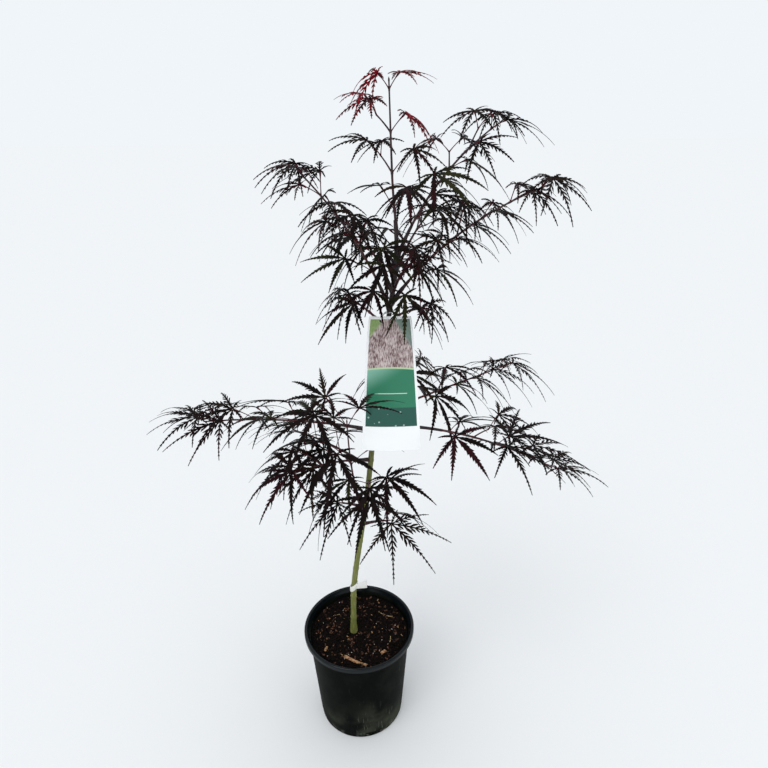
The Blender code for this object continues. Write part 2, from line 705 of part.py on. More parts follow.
def build_loop(material):
    """The thin loop: through the card's hole, round the back of the stem and over the card's head."""
    eye = card_point(CARD_HOLE_DROP, CARD_HOLE_ACROSS, 0.5 * CARD_THICKNESS)
    head = card_point(0, CARD_HOLE_ACROSS)
    centre, radius = stem_at(LOOP_HEIGHT)
    wide = radius + LOOP_WIRE + 2 * MM
    knots = [
        eye,
        eye + np.array([0.5, 5, 2]) * MM,
        centre + np.array([-wide, -1 * MM, 0]),
        centre + np.array([0, radius + LOOP_WIRE + CLEAR, 0]),
        centre + np.array([wide, -1 * MM, 0.5 * MM]),
        np.array([head[0] + 3 * MM, head[1], head[2] + 3 * MM]),
        np.array([eye[0] + 1 * MM, eye[1] - 3 * MM, eye[2] + 3 * MM]),
    ]
    data = bpy.data.curves.new("card_loop", "CURVE")
    data.dimensions = "3D"
    data.bevel_depth = LOOP_WIRE
    data.bevel_resolution = 0
    points = smooth_ring(knots, 4)
    spline = data.splines.new("POLY")
    spline.points.add(len(points) - 1)
    for point, place in zip(spline.points, points):
        point.co = (*place, 1.0)
    spline.use_cyclic_u = True
    data.materials.append(material)
    loop = bpy.data.objects.new("card_loop", data)
    bpy.context.scene.collection.objects.link(loop)
    return loop


def build_tie(name, height, material):
    """A band of tape round the stem, a hair clear of the bark."""
    centre, radius = stem_at(height)
    above, _ = stem_at(height + TIE_WIDTH)
    way = unit(above - centre)
    across = unit(np.cross(way, np.array([0.0, 1.0, 0.0])))
    beside = np.cross(way, across)
    inner = radius + 2 * CLEAR
    ring = ((inner, -0.5), (inner + TIE_THICKNESS, -0.5), (inner + TIE_THICKNESS, 0.5), (inner, 0.5))
    verts = []
    for k in range(TIE_SIDES):
        a = 2 * math.pi * k / TIE_SIDES
        out = math.cos(a) * across + math.sin(a) * beside
        verts.extend(centre + reach * out + share * TIE_WIDTH * way for reach, share in ring)
    faces = []
    for k in range(TIE_SIDES):
        n = (k + 1) % TIE_SIDES
        for c in range(4):
            d = (c + 1) % 4
            faces.append((4 * k + c, 4 * n + c, 4 * n + d, 4 * k + d))
    return add_object(name, verts, faces, material)


def facing_out(piece):
    """Turn a closed mesh the right way out."""
    bm = bmesh.new()
    bm.from_mesh(piece.data)
    bmesh.ops.recalc_face_normals(bm, faces=bm.faces)
    bm.to_mesh(piece.data)
    bm.free()


for old in list(bpy.data.objects):
    bpy.data.objects.remove(old)

plastic = named_material("pot_plastic", (0.016, 0.017, 0.018), 0.45)
earth = named_material("potting_soil", (0.022, 0.013, 0.009), 0.95)
bark = named_material("bark", (0.10, 0.085, 0.035), 0.7)
leaf_green = named_material("leaves", (0.055, 0.022, 0.020), 0.55)
card_plastic = named_material("card_plastic", (0.10, 0.30, 0.20), 0.35)
tie_colours = {"tie_white": (0.75, 0.75, 0.74), "tie_black": (0.02, 0.02, 0.02)}

shoot_paths, crown = grow_crown()
pieces = [build_pot(plastic), build_soil(earth)]
pieces.append(add_object("trunk", *trunk_tube(STEM[0].height, FORK_HEIGHT), bark))
for shoot in SHOOTS:
    if shoot.name == "leader":
        low, high = FORK_HEIGHT + CLEAR, FORK_HEIGHT + shoot.bare * MM
        pieces.append(add_object("bough_leader", *trunk_tube(low, high, 0.0, 8), bark))
    else:
        pieces.append(bough(shoot, shoot_paths[shoot.name], bark))
    pieces.append(foliage(shoot, shoot_paths[shoot.name], crown[shoot.name], leaf_green))
pieces.append(build_card(card_plastic))
pieces.append(build_loop(named_material("loop_plastic", (0.75, 0.75, 0.74), 0.4)))
for name, height in TIE_HEIGHTS.items():
    pieces.append(build_tie(name, height, named_material(name, tie_colours[name], 0.5)))
for piece in pieces:
    if piece.type == "MESH":
        facing_out(piece)
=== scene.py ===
import math
from collections import namedtuple

import bmesh
import bpy
import numpy as np
from mathutils import Matrix, Vector, noise


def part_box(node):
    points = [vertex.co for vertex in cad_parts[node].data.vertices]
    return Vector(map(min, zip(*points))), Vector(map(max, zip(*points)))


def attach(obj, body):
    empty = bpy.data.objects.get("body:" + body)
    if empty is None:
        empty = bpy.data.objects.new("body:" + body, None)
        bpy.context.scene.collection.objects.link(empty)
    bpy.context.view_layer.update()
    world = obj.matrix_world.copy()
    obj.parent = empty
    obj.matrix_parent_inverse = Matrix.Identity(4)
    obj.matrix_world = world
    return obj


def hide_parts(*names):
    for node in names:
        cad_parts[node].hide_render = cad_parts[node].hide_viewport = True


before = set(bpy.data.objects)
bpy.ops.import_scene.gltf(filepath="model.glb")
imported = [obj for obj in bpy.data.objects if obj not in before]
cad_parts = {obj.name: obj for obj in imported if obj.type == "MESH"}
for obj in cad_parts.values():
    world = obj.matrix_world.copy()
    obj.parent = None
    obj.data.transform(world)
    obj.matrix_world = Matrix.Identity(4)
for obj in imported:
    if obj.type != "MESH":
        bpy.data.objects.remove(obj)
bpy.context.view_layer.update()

# Pot: a thin round nursery pot, moulded in one piece of black plastic. Its lip is rolled over a low band, its
# wall tapers to a rounded foot, and slots for drainage are cut through the foot of the wall. It stands on the
# ring under its foot, and carries dust and scuffs from the nursery bench.
MM = 0.001
POT_SIDES = 160
POT_WALL = 1.6 * MM
FOOT_RADIUS = 64 * MM
WALL_TOP_RADIUS = 75 * MM
BAND_FOOT = 150 * MM
BAND_HEIGHT = 6 * MM
BAND_PROUD = 2.7 * MM
LIP_ROLL = 2.3 * MM
POT_FLOOR = 4.5 * MM
FOOT_ROUND = 3 * MM
RING_INSIDE = 9 * MM
RING_OUTSIDE = 7.5 * MM
WALL_HEIGHTS = (18, 50, 85, 120, 142)
UNDER_BAND = 0.9 * MM
BAND_ROUND = 0.7 * MM
UNDER_LIP = 1.2 * MM
LIP_DEPTH = 6 * MM
SLOT_COUNT = 4
SLOT_DEPTH = 24 * MM
SLOT_WIDTH = 26 * MM
SLOT_HEIGHT = 9 * MM
SLOT_FOOT = 1.5 * MM
SLOT_FIRST = 0.2
RECESS = 1.2 * MM
DUST_FADE = (4 * MM, 75 * MM)
SCUFF_FADE = (2 * MM, 13 * MM)
LIP_BLEND = (157 * MM, 160 * MM)

pot_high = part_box("pot")[1]
LIP_RADIUS = pot_high.x
POT_HEIGHT = pot_high.z


class Reading:
    """A number, colour or vector that changes over a surface. Sums on it add Math nodes."""

    def __init__(self, finish, socket):
        self.finish = finish
        self.socket = socket

    def combine(self, operation, first, second):
        return self.finish.node("ShaderNodeMath", {"operation": operation}, {0: first, 1: second})

    def __add__(self, other):
        return self.combine("ADD", self, other)

    def __sub__(self, other):
        return self.combine("SUBTRACT", self, other)

    def __rsub__(self, other):
        return self.combine("SUBTRACT", other, self)

    def __mul__(self, other):
        return self.combine("MULTIPLY", self, other)

    def __gt__(self, other):
        return self.combine("GREATER_THAN", self, other)

    def __lt__(self, other):
        return self.combine("LESS_THAN", self, other)

    __radd__ = __add__
    __rmul__ = __mul__


class Finish:
    """A material whose Principled shader takes the readings."""

    def __init__(self, name, **constants):
        self.material = bpy.data.materials.new(name)
        self.material.use_nodes = True
        self.tree = self.material.node_tree
        self.shader = self.tree.nodes["Principled BSDF"]
        for socket, value in constants.items():
            self.shader.inputs[socket.replace("_", " ").title().replace("Ior", "IOR")].default_value = value

    def feed(self, socket, value):
        if isinstance(value, Reading):
            self.tree.links.new(value.socket, socket)
        else:
            socket.default_value = value

    def node(self, kind, settings, inputs, output=0):
        """Adds a node: its type, the settings that come first, and the values or links of its sockets."""
        made = self.tree.nodes.new(kind)
        for key, value in settings.items():
            setattr(made, key, value)
        for key, value in inputs.items():
            self.feed(made.inputs[key], value)
        return Reading(self, made.outputs[output])

    def place(self, output="Object"):
        return self.node("ShaderNodeTexCoord", {}, {}, output)

    def speckle(self, scale, detail=3.0, vector=None):
        inputs = {"Scale": scale, "Detail": detail, "Vector": vector or self.place()}
        return self.node("ShaderNodeTexNoise", {}, inputs)

    def streaked(self, detail, scale):
        """A speckle with its own scale along each axis, so that it draws out where the scale is small."""
        inputs = {0: self.place(), 1: scale}
        stretched = self.node("ShaderNodeVectorMath", {"operation": "MULTIPLY"}, inputs)
        return self.speckle(1.0, detail, stretched)

    def flat(self, first, second):
        return self.node("ShaderNodeCombineXYZ", {}, {0: first, 1: second})

    def step(self, value, low, high):
        """0 under the low value, 1 over the high one, and smooth between."""
        inputs = {"Value": value, 1: low, 2: high}
        return self.node("ShaderNodeMapRange", {"interpolation_type": "SMOOTHSTEP"}, inputs)

    def axis(self, name, vector=None):
        return self.node("ShaderNodeSeparateXYZ", {}, {0: vector or self.place()}, name)

    def mix(self, first, second, share):
        inputs = {0: share, 6: first, 7: second}
        return self.node("ShaderNodeMix", {"data_type": "RGBA"}, inputs, 2)

    def dress(self, colour, roughness, relief=None, depth=0.2 * MM):
        self.feed(self.shader.inputs["Base Color"], colour)
        self.feed(self.shader.inputs["Roughness"], roughness)
        if relief:
            bump = self.node("ShaderNodeBump", {}, {"Height": relief, "Distance": depth, "Strength": 0.6})
            self.feed(self.shader.inputs["Normal"], bump)
        return self.material


def tint(red, green, blue):
    """A colour as the eye reads it, from 0 to 255, turned into the shader's linear one."""
    parts = [c / 255 for c in (red, green, blue)]
    return (*[c / 12.92 if c <= 0.04045 else ((c + 0.055) / 1.055) ** 2.4 for c in parts], 1.0)


def closed_mesh(name, verts, faces):
    """A mesh whose faces all point out."""
    mesh = bpy.data.meshes.new(name)
    mesh.from_pydata(verts, [], faces)
    bm = bmesh.new()
    bm.from_mesh(mesh)
    bmesh.ops.recalc_face_normals(bm, faces=bm.faces)
    bm.to_mesh(mesh)
    bm.free()
    return mesh


def add_piece(name, verts, faces, material, slot, smooth=True):
    """A closed mesh that rides on the plant's one body."""
    mesh = closed_mesh(name, verts, faces)
    if smooth:
        mesh.shade_smooth()
    mesh.materials.append(material)
    piece = bpy.data.objects.new(name, mesh)
    bpy.context.scene.collection.objects.link(piece)
    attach(piece, "root")
    return piece


def cut_away(piece, verts, faces, angle=32):
    """Cuts a closed shape out of a piece, and keeps the rims of the cut sharp."""
    cutter = bpy.data.objects.new("cutter", closed_mesh("cutter", verts, faces))
    bpy.context.scene.collection.objects.link(cutter)
    cut = piece.modifiers.new("cut", "BOOLEAN")
    cut.operation = "DIFFERENCE"
    cut.object = cutter
    bpy.context.view_layer.update()
    shape = bpy.data.meshes.new_from_object(piece.evaluated_get(bpy.context.evaluated_depsgraph_get()))
    piece.modifiers.remove(cut)
    piece.data = shape
    bpy.data.objects.remove(cutter)
    shape.shade_smooth()
    shape.set_sharp_from_angle(angle=math.radians(angle))


def turned(profile, sides):
    """Verts and faces of a solid turned from a profile that starts and ends on the upright axis."""
    verts = []
    rings = []
    for radius, height in profile:
        count = 1 if radius == 0 else sides
        rings.append([len(verts) + k % count for k in range(sides)])
        for k in range(count):
            a = 2 * math.pi * k / sides
            verts.append((radius * math.cos(a), radius * math.sin(a), height))
    faces = []
    for low, high in zip(rings, rings[1:]):
        for k in range(sides):
            n = (k + 1) % sides
            corners = [low[k], low[n], high[n], high[k]]
            faces.append(tuple(dict.fromkeys(corners)))
    return verts, faces


def arc(centre, radius, start, end, steps):
    """Profile points on an arc between two angles in degrees."""
    angles = [math.radians(start + (end - start) * k / steps) for k in range(steps + 1)]
    return [(centre[0] + radius * math.cos(a), centre[1] + radius * math.sin(a)) for a in angles]


def wall_at(height):
    return FOOT_RADIUS + (WALL_TOP_RADIUS - FOOT_RADIUS) * height / BAND_FOOT


def pot_profile():
    """Up the outside from the middle of the underside, over the lip, and down the inside."""
    band = WALL_TOP_RADIUS + BAND_PROUD
    inner = WALL_TOP_RADIUS - POT_WALL
    band_top = BAND_FOOT + BAND_HEIGHT
    profile = [(0, RECESS), (FOOT_RADIUS - RING_INSIDE, RECESS), (FOOT_RADIUS - RING_OUTSIDE, 0)]
    profile += arc((FOOT_RADIUS - FOOT_ROUND, FOOT_ROUND), FOOT_ROUND, -90, 0, 6)
    profile += [(wall_at(h * MM), h * MM) for h in WALL_HEIGHTS]
    profile += arc((WALL_TOP_RADIUS + UNDER_BAND, BAND_FOOT - UNDER_BAND), UNDER_BAND, 180, 90, 4)
    profile += arc((band - BAND_ROUND, BAND_FOOT + BAND_ROUND), BAND_ROUND, -90, 0, 4)
    profile += arc((band - BAND_ROUND, band_top - BAND_ROUND), BAND_ROUND, 0, 90, 4)
    profile += [(band - 2 * BAND_ROUND, band_top + UNDER_BAND)]
    profile += arc((LIP_RADIUS - UNDER_LIP, band_top + 2 * UNDER_LIP), UNDER_LIP, -80, 0, 5)
    profile += arc((LIP_RADIUS - LIP_ROLL, POT_HEIGHT - LIP_ROLL), LIP_ROLL, 0, 180, 12)
    profile += [(inner + POT_WALL, POT_HEIGHT - LIP_DEPTH), (inner, BAND_FOOT)]
    profile += [(wall_at(POT_FLOOR) - POT_WALL, POT_FLOOR), (0, POT_FLOOR)]
    return profile


BLOCK = (
    np.array([(x, y, z) for x in (-0.5, 0.5) for y in (-0.5, 0.5) for z in (-0.5, 0.5)]),
    [(0, 1, 3, 2), (4, 6, 7, 5), (0, 4, 5, 1), (2, 3, 7, 6), (0, 2, 6, 4), (1, 5, 7, 3)],
)


class Heap:
    """Verts and faces of many small shapes, gathered for one joined mesh."""

    def __init__(self):
        self.verts = []
        self.faces = []
        self.count = 0

    def add(self, verts, faces):
        self.verts.append(np.asarray(verts, float))
        self.faces.extend(tuple(i + self.count for i in face) for face in faces)
        self.count += len(verts)

    def shape(self):
        return np.vstack(self.verts).tolist(), self.faces

    def piece(self, name, material, slot, smooth=True):
        return add_piece(name, *self.shape(), material, slot, smooth)


def slot_blocks():
    """A block through the foot of the wall for each drainage slot."""
    heap = Heap()
    size = np.array([SLOT_DEPTH, SLOT_WIDTH, SLOT_HEIGHT])
    centre = (FOOT_RADIUS - 2 * POT_WALL + size[0] / 2, 0, SLOT_FOOT + SLOT_HEIGHT / 2)
    for k in range(SLOT_COUNT):
        turn = np.array(Matrix.Rotation(2 * math.pi * (k + SLOT_FIRST) / SLOT_COUNT, 3, "Z"))
        heap.add((BLOCK[0] * size + centre) @ turn.T, BLOCK[1])
    return heap.shape()


def pot_finish():
    """Black plastic, duller and browner where dust clings to the wall, with pale rubs, fine scratches, and a
    clean lip with a painted blue-grey sheen.
    """
    finish = Finish("pot_plastic", specular_ior_level=0.02, coat_roughness=0.12)
    height = finish.axis("Z")
    dust = finish.step(finish.speckle(24.0, 6.0), 0.4, 0.7)
    low = 1 - finish.step(height, *DUST_FADE)
    smudge = finish.step(finish.speckle(9.0, 4.0), 0.42, 0.66)
    dusty = dust * (0.16 + 0.6 * low + 0.4 * smudge)
    streaks = finish.streaked(4.0, (420, 420, 36))
    rubs = finish.step(streaks, 0.62, 0.7) * smudge * 0.35
    scuffs = finish.step(finish.speckle(75.0, 6.0), 0.5, 0.62) * (1 - finish.step(height, *SCUFF_FADE))
    lip = finish.step(height, *LIP_BLEND)
    wall = finish.mix(tint(4, 7, 5), tint(64, 67, 56), dusty * 0.8)
    wall = finish.mix(wall, tint(110, 114, 104), rubs)
    wall = finish.mix(wall, tint(136, 140, 130), scuffs * 0.45)
    # Painted sheen: the lip is clean of dust, and its blue-grey colour stands in for the glint on its glossy
    # roll.
    colour = finish.mix(wall, tint(10, 16, 20), lip * 0.85)
    roughness = 0.5 + 0.28 * dusty - 0.12 * lip + 0.08 * finish.speckle(140.0)
    relief = finish.speckle(900.0, 2.0) * 0.5 + streaks
    finish.feed(finish.shader.inputs["Coat Weight"], 0.01 + lip * 0.4)
    return finish.dress(colour, roughness, relief, 0.12 * MM)


pot = add_piece("nursery_pot", *turned(pot_profile(), POT_SIDES), pot_finish(), "pot")
cut_away(pot, *slot_blocks())
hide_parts("pot")

# Potting soil: a dark mix of composted bark, filled to a little under the lip. Crumbs, splinters of bark,
# white grains of perlite and bits of straw lie loose on it.
soil_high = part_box("soil")[1]
SOIL_TOP = soil_high.z
SOIL_RADIUS = soil_high.x
SOIL_RINGS = 64
SOIL_SIDES = 150
SOIL_CLEAR = 0.3 * MM
SOIL_FOOT = POT_FLOOR + SOIL_CLEAR
HEAP = 1.6 * MM
SOIL_SAG = 0.6 * MM
SOIL_WAVES = ((45, 0.3, 0.9), (210, 2.1, 0.55), (640, 5.7, 0.3))
LITTER_ROOM = 3 * MM
STEM_FOOT = Vector((-8.5 * MM, 0))
STEM_ROOM = 7.5 * MM
earth_rng = np.random.default_rng(41)


def soil_height(x, y):
    """Height of the soil's uneven top: slow, quick and fine waves, each with its pace, layer and share."""
    waves = [share * noise.noise(Vector((x * pace, y * pace, layer))) for pace, layer, share in SOIL_WAVES]
    return SOIL_TOP + HEAP * sum(waves) - SOIL_SAG


def soil_plug():
    """The whole fill of the pot as one closed solid with an uneven top."""
    low = wall_at(POT_FLOOR) - POT_WALL - SOIL_CLEAR
    profile = [(0, SOIL_FOOT), (low, SOIL_FOOT), (SOIL_RADIUS, BAND_FOOT)]
    profile += [(SOIL_RADIUS * k / SOIL_RINGS, SOIL_TOP) for k in range(SOIL_RINGS, 0, -1)]
    profile += [(0, SOIL_TOP)]
    verts, faces = turned(profile, SOIL_SIDES)
    shaped = [(x, y, soil_height(x, y) if z == SOIL_TOP else z) for x, y, z in verts]
    return shaped, faces


def spin(rng):
    """A random turn in space, as a matrix."""
    spun, _ = np.linalg.qr(rng.normal(size=(3, 3)))
    return spun * np.linalg.det(spun)


def ball(level):
    bm = bmesh.new()
    bmesh.ops.create_icosphere(bm, subdivisions=level, radius=1)
    verts = np.array([v.co for v in bm.verts])
    faces = [tuple(v.index for v in f.verts) for f in bm.faces]
    bm.free()
    return verts, faces


def scatter(heap, count, shape, sizes, squash, sink, lean, rough):
    """Drops copies of a shape on the soil, each squashed, sunk, tipped by lean and worn by rough."""
    verts, faces = shape
    for _ in range(count):
        reach = (SOIL_RADIUS - LITTER_ROOM) * math.sqrt(earth_rng.uniform())
        a = earth_rng.uniform(0, 2 * math.pi)
        x, y = reach * math.cos(a), reach * math.sin(a)
        size = earth_rng.uniform(*sizes) * MM
        lumpy = verts * (1 + earth_rng.normal(0, rough, verts.shape)) * squash
        if lean is None:
            turned_verts = lumpy @ spin(earth_rng).T
        else:
            turn = Matrix.Rotation(earth_rng.uniform(0, 2 * math.pi), 3, "Z")
            turn = turn @ Matrix.Rotation(math.radians(earth_rng.normal(0, lean)), 3, "Y")
            turned_verts = lumpy @ np.array(turn).T
        if math.hypot(x - STEM_FOOT.x, y) < STEM_ROOM + size / 2:
            continue
        place = np.array([x, y, soil_height(x, y) + sink * size])
        heap.add(size * turned_verts + place, faces)


def straw_shape(straw):
    """A thin dry stalk that lies in a shallow curve."""
    a = math.radians(straw.heading)
    path = []
    for k in range(STRAW_STEPS + 1):
        t = k / STRAW_STEPS - 0.5
        on = straw.length * MM * t
        aside = straw.bend * MM * (1 - 4 * t * t)
        x = straw.x * MM + on * math.cos(a) - aside * math.sin(a)
        y = straw.y * MM + on * math.sin(a) + aside * math.cos(a)
        path.append((x, y, soil_height(x, y) + STRAW_LIFT))
    return tube(path, [STRAW_RADIUS] * len(path), STRAW_SIDES)


def unit(v):
    return v / np.linalg.norm(v)


UP = np.array([0.0, 0.0, 1.0])


def tube_faces(rings, sides, closed=False):
    """Faces between rings of verts, with flat ends, or joined end to end where the tube is a closed loop."""
    ends = [tuple(range(sides - 1, -1, -1)), tuple(range((rings - 1) * sides, rings * sides))]
    faces = [] if closed else ends
    for i in range(rings if closed else rings - 1):
        low = i * sides
        high = (i + 1) % rings * sides
        for k in range(sides):
            n = (k + 1) % sides
            faces.append((low + k, low + n, high + n, high + k))
    return faces


def tube(path, radii, sides):
    """A closed tapering tube along a path, with flat ends."""
    path = np.asarray(path, float)
    count = len(path)
    ways = [unit(path[min(i + 1, count - 1)] - path[max(i - 1, 0)]) for i in range(count)]
    across = unit(np.cross(ways[0], UP)) if abs(ways[0][2]) < 0.95 else np.array([1.0, 0.0, 0.0])
    turns = 2 * math.pi * np.arange(sides) / sides
    verts = []
    for i in range(count):
        across = unit(across - np.dot(across, ways[i]) * ways[i])
        beside = np.cross(ways[i], across)
        ring = np.outer(np.cos(turns), across) + np.outer(np.sin(turns), beside)
        verts.append(path[i] + radii[i] * ring)
    return np.vstack(verts), tube_faces(count, sides)


def earth_finish(name, dark, light, scale, roughness):
    """A dull crumbly finish that wanders between two colours."""
    finish = Finish(name, specular_ior_level=0.1)
    grain = finish.speckle(scale, 6.0)
    colour = finish.mix(dark, light, finish.step(grain, 0.38, 0.66))
    return finish.dress(colour, roughness + 0.1 * grain, finish.speckle(scale * 3, 4.0), 0.3 * MM)


soil_skin = earth_finish("soil_mix", tint(4, 3, 2), tint(16, 11, 8), 260.0, 0.88)
soil = add_piece("soil_fill", *soil_plug(), soil_skin, "soil")
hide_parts("soil")

crumbs = Heap()
scatter(crumbs, 2300, ball(1), (1.0, 2.6), (1.0, 0.8, 0.6), 0.12, None, 0.16)
crumb_skin = earth_finish("crumb_bark", tint(5, 3, 3), tint(28, 17, 12), 330.0, 0.85)
crumbs.piece("soil_crumbs", crumb_skin, "soil", False)
brown = Heap()
scatter(brown, 250, BLOCK, (1.8, 5.2), (1.0, 0.42, 0.22), 0.16, 16, 0.16)
brown_skin = earth_finish("bark_brown", tint(42, 27, 21), tint(104, 72, 56), 420.0, 0.75)
brown.piece("bark_splinters", brown_skin, "soil", False)

Chip = namedtuple("Chip", "x y length width heading")
CHIPS = (
    Chip(-10, -54, 24, 4.0, 152),
    Chip(4, -61, 17, 3.2, 160),
    Chip(36, -42, 9, 4.5, 40),
    Chip(-48, -34, 8, 3, 70),
)
CHIP_THICKNESS = 1.6
tan = Heap()
scatter(tan, 90, BLOCK, (1.2, 3.4), (1.0, 0.45, 0.25), 0.2, 14, 0.16)
for chip in CHIPS:
    turn = np.array(Matrix.Rotation(math.radians(chip.heading), 3, "Z"))
    worn = BLOCK[0] * (1 + earth_rng.normal(0, 0.12, BLOCK[0].shape))
    worn = worn * (chip.length, chip.width, CHIP_THICKNESS)
    place = np.array([chip.x, chip.y, CHIP_THICKNESS]) * MM
    tan.add(worn @ turn.T * MM + place + soil_height(place[0], place[1]) * UP, BLOCK[1])
tan_skin = earth_finish("bark_tan", tint(112, 78, 54), tint(184, 142, 106), 380.0, 0.7)
tan.piece("bark_chips", tan_skin, "soil", False)
perlite = Heap()
scatter(perlite, 30, ball(1), (0.5, 1.2), (1.0, 0.85, 0.8), 0.3, None, 0.14)
perlite_skin = earth_finish("perlite_white", tint(188, 184, 172), tint(228, 226, 218), 700.0, 0.8)
perlite.piece("perlite", perlite_skin, "soil", False)

Straw = namedtuple("Straw", "x y length bend heading")
STRAWS = (
    Straw(40, 30, 24, 1.2, 152),
    Straw(-38, 30, 13, 1, 20),
    Straw(46, -18, 12, -1, 80),
    Straw(-20, -45, 14, 1.5, 165),
)
STRAW_STEPS = 8
STRAW_SIDES = 6
STRAW_RADIUS = 0.45 * MM
STRAW_LIFT = 0.9 * MM
straws = Heap()
for straw in STRAWS:
    straws.add(*straw_shape(straw))
straw_skin = earth_finish("dry_straw", tint(156, 128, 92), tint(206, 180, 138), 300.0, 0.7)
straws.piece("straw_bits", straw_skin, "soil")

# Stem: one young trunk, a finger thick at the soil, which leans and bows as it was trained and runs on as the
# leader. Its bark is smooth and olive green low down, with faint lengthwise ridges, scars in rings where old
# leaves stood, and a purple-black upper part.
Station = namedtuple("Station", "height x y radius")
STEM = (
    Station(152.3 * MM, -8.5 * MM, 0.0 * MM, 5.8 * MM),
    Station(172 * MM, -8.2 * MM, 0.2 * MM, 4.4 * MM),
    Station(240 * MM, -5.2 * MM, 1.0 * MM, 4.0 * MM),
    Station(320 * MM, 5.8 * MM, 1.5 * MM, 3.8 * MM),
    Station(390 * MM, 16.8 * MM, 0.5 * MM, 3.7 * MM),
    Station(560 * MM, 35.5 * MM, -1.5 * MM, 3.3 * MM),
    Station(717 * MM, 58.0 * MM, 0.0 * MM, 2.6 * MM),
    Station(800 * MM, 54.2 * MM, 1.5 * MM, 1.8 * MM),
    Station(890 * MM, 51.5 * MM, 0.0 * MM, 0.9 * MM),
)
FORK_HEIGHT = 717 * MM
LEADER_TOP = 757 * MM
STEM_SIDES = 28
RING_STEP = 1.6 * MM
RIDGES = 9
RIDGE_DEPTH = 0.022
SCAR_SWELL = 0.14
SCAR_HALF = 2.2 * MM
RIDGE_WANDER = 31 * MM
LUMP_SPREAD = 1.7
LUMP_LENGTH = 5 * MM
LUMP_DEPTH = 0.05


def stem_at(height):
    """Centre and radius of the stem at a height, by a smooth curve through its stations."""
    heights = [s.height for s in STEM]
    i = min(max(int(np.searchsorted(heights, height)) - 1, 0), len(STEM) - 2)

    def slope(k):
        low = STEM[max(k - 1, 0)]
        high = STEM[min(k + 1, len(STEM) - 1)]
        return (np.array(high[1:]) - np.array(low[1:])) / (high.height - low.height)

    span = heights[i + 1] - heights[i]
    t = (height - heights[i]) / span
    here = np.array(STEM[i][1:])
    there = np.array(STEM[i + 1][1:])
    value = (2 * t**3 - 3 * t**2 + 1) * here + (t**3 - 2 * t**2 + t) * span * slope(i)
    value = value + (-2 * t**3 + 3 * t**2) * there + (t**3 - t**2) * span * slope(i + 1)
    return np.array([value[0], value[1], height]), float(value[2])


def barked(path, radii, scars, sides, seed):
    """A tube with bark: shallow lengthwise ridges, small lumps, and a swollen ring at each scar."""
    verts, faces = tube(path, radii, sides)
    path = np.asarray(path)
    reached = np.concatenate([[0.0], np.cumsum(np.linalg.norm(np.diff(path, axis=0), axis=1))])
    shaped = verts.reshape(len(path), sides, 3)
    turns = 2 * math.pi * np.arange(sides) / sides
    around = [(LUMP_SPREAD * math.cos(a), LUMP_SPREAD * math.sin(a)) for a in turns]
    for i, centre in enumerate(path):
        s = reached[i]
        swell = sum(math.exp(-(((s - scar) / SCAR_HALF) ** 2)) for scar in scars)
        ridges = RIDGE_DEPTH * np.sin(RIDGES * turns + 2.5 * math.sin(s / RIDGE_WANDER + seed))
        lumps = [noise.noise(Vector((x, y, s / LUMP_LENGTH + seed))) for x, y in around]
        shape = 1 + ridges + LUMP_DEPTH * np.array(lumps) + SCAR_SWELL * swell
        shaped[i] = centre + (shaped[i] - centre) * shape[:, None]
    return shaped.reshape(-1, 3), faces


def bark_finish(name, low_colour, high_colour, turn_low, turn_high, streak_colour):
    """Smooth young bark: one colour low down and another above, with pale streaks and small pores."""
    finish = Finish(name, specular_ior_level=0.4)
    height = finish.axis("Z")
    wander = 60 * MM * (finish.speckle(40.0) - 0.5)
    upper = finish.step(height + wander, turn_low, turn_high)
    streaks = finish.streaked(5.0, (900, 900, 60))
    pores = finish.step(finish.streaked(1.0, (1500, 1500, 700)), 0.68, 0.74)
    skin = finish.mix(low_colour, high_colour, upper)
    skin = finish.mix(skin, streak_colour, 0.4 * finish.step(streaks, 0.5, 0.72) * (1 - 0.7 * upper))
    colour = finish.mix(skin, tint(150, 140, 110), pores * 0.3)
    roughness = 0.5 + 0.2 * streaks
    return finish.dress(colour, roughness, streaks + 0.6 * pores, 0.3 * MM)


STEM_SCARS = (0.030, 0.071, 0.122, 0.171, 0.211, 0.246, 0.305, 0.352, 0.387, 0.452, 0.518, 0.575, 0.604)
STEM_SUNK = 3 * MM
stem_heights = np.arange(SOIL_TOP - STEM_SUNK, LEADER_TOP, RING_STEP)
stem_path = [stem_at(max(h, STEM[0].height))[0] * (1, 1, 0) + (0, 0, h) for h in stem_heights]
stem_radii = [stem_at(max(h, STEM[0].height))[1] for h in stem_heights]
stem = add_piece(
    "stem_bark",
    *barked(stem_path, stem_radii, STEM_SCARS, STEM_SIDES, 3.1),
    bark_finish("stem_skin", tint(108, 112, 52), tint(40, 24, 28), 400 * MM, 560 * MM, tint(176, 172, 124)),
    "bark",
)
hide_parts("trunk", "bough_leader")

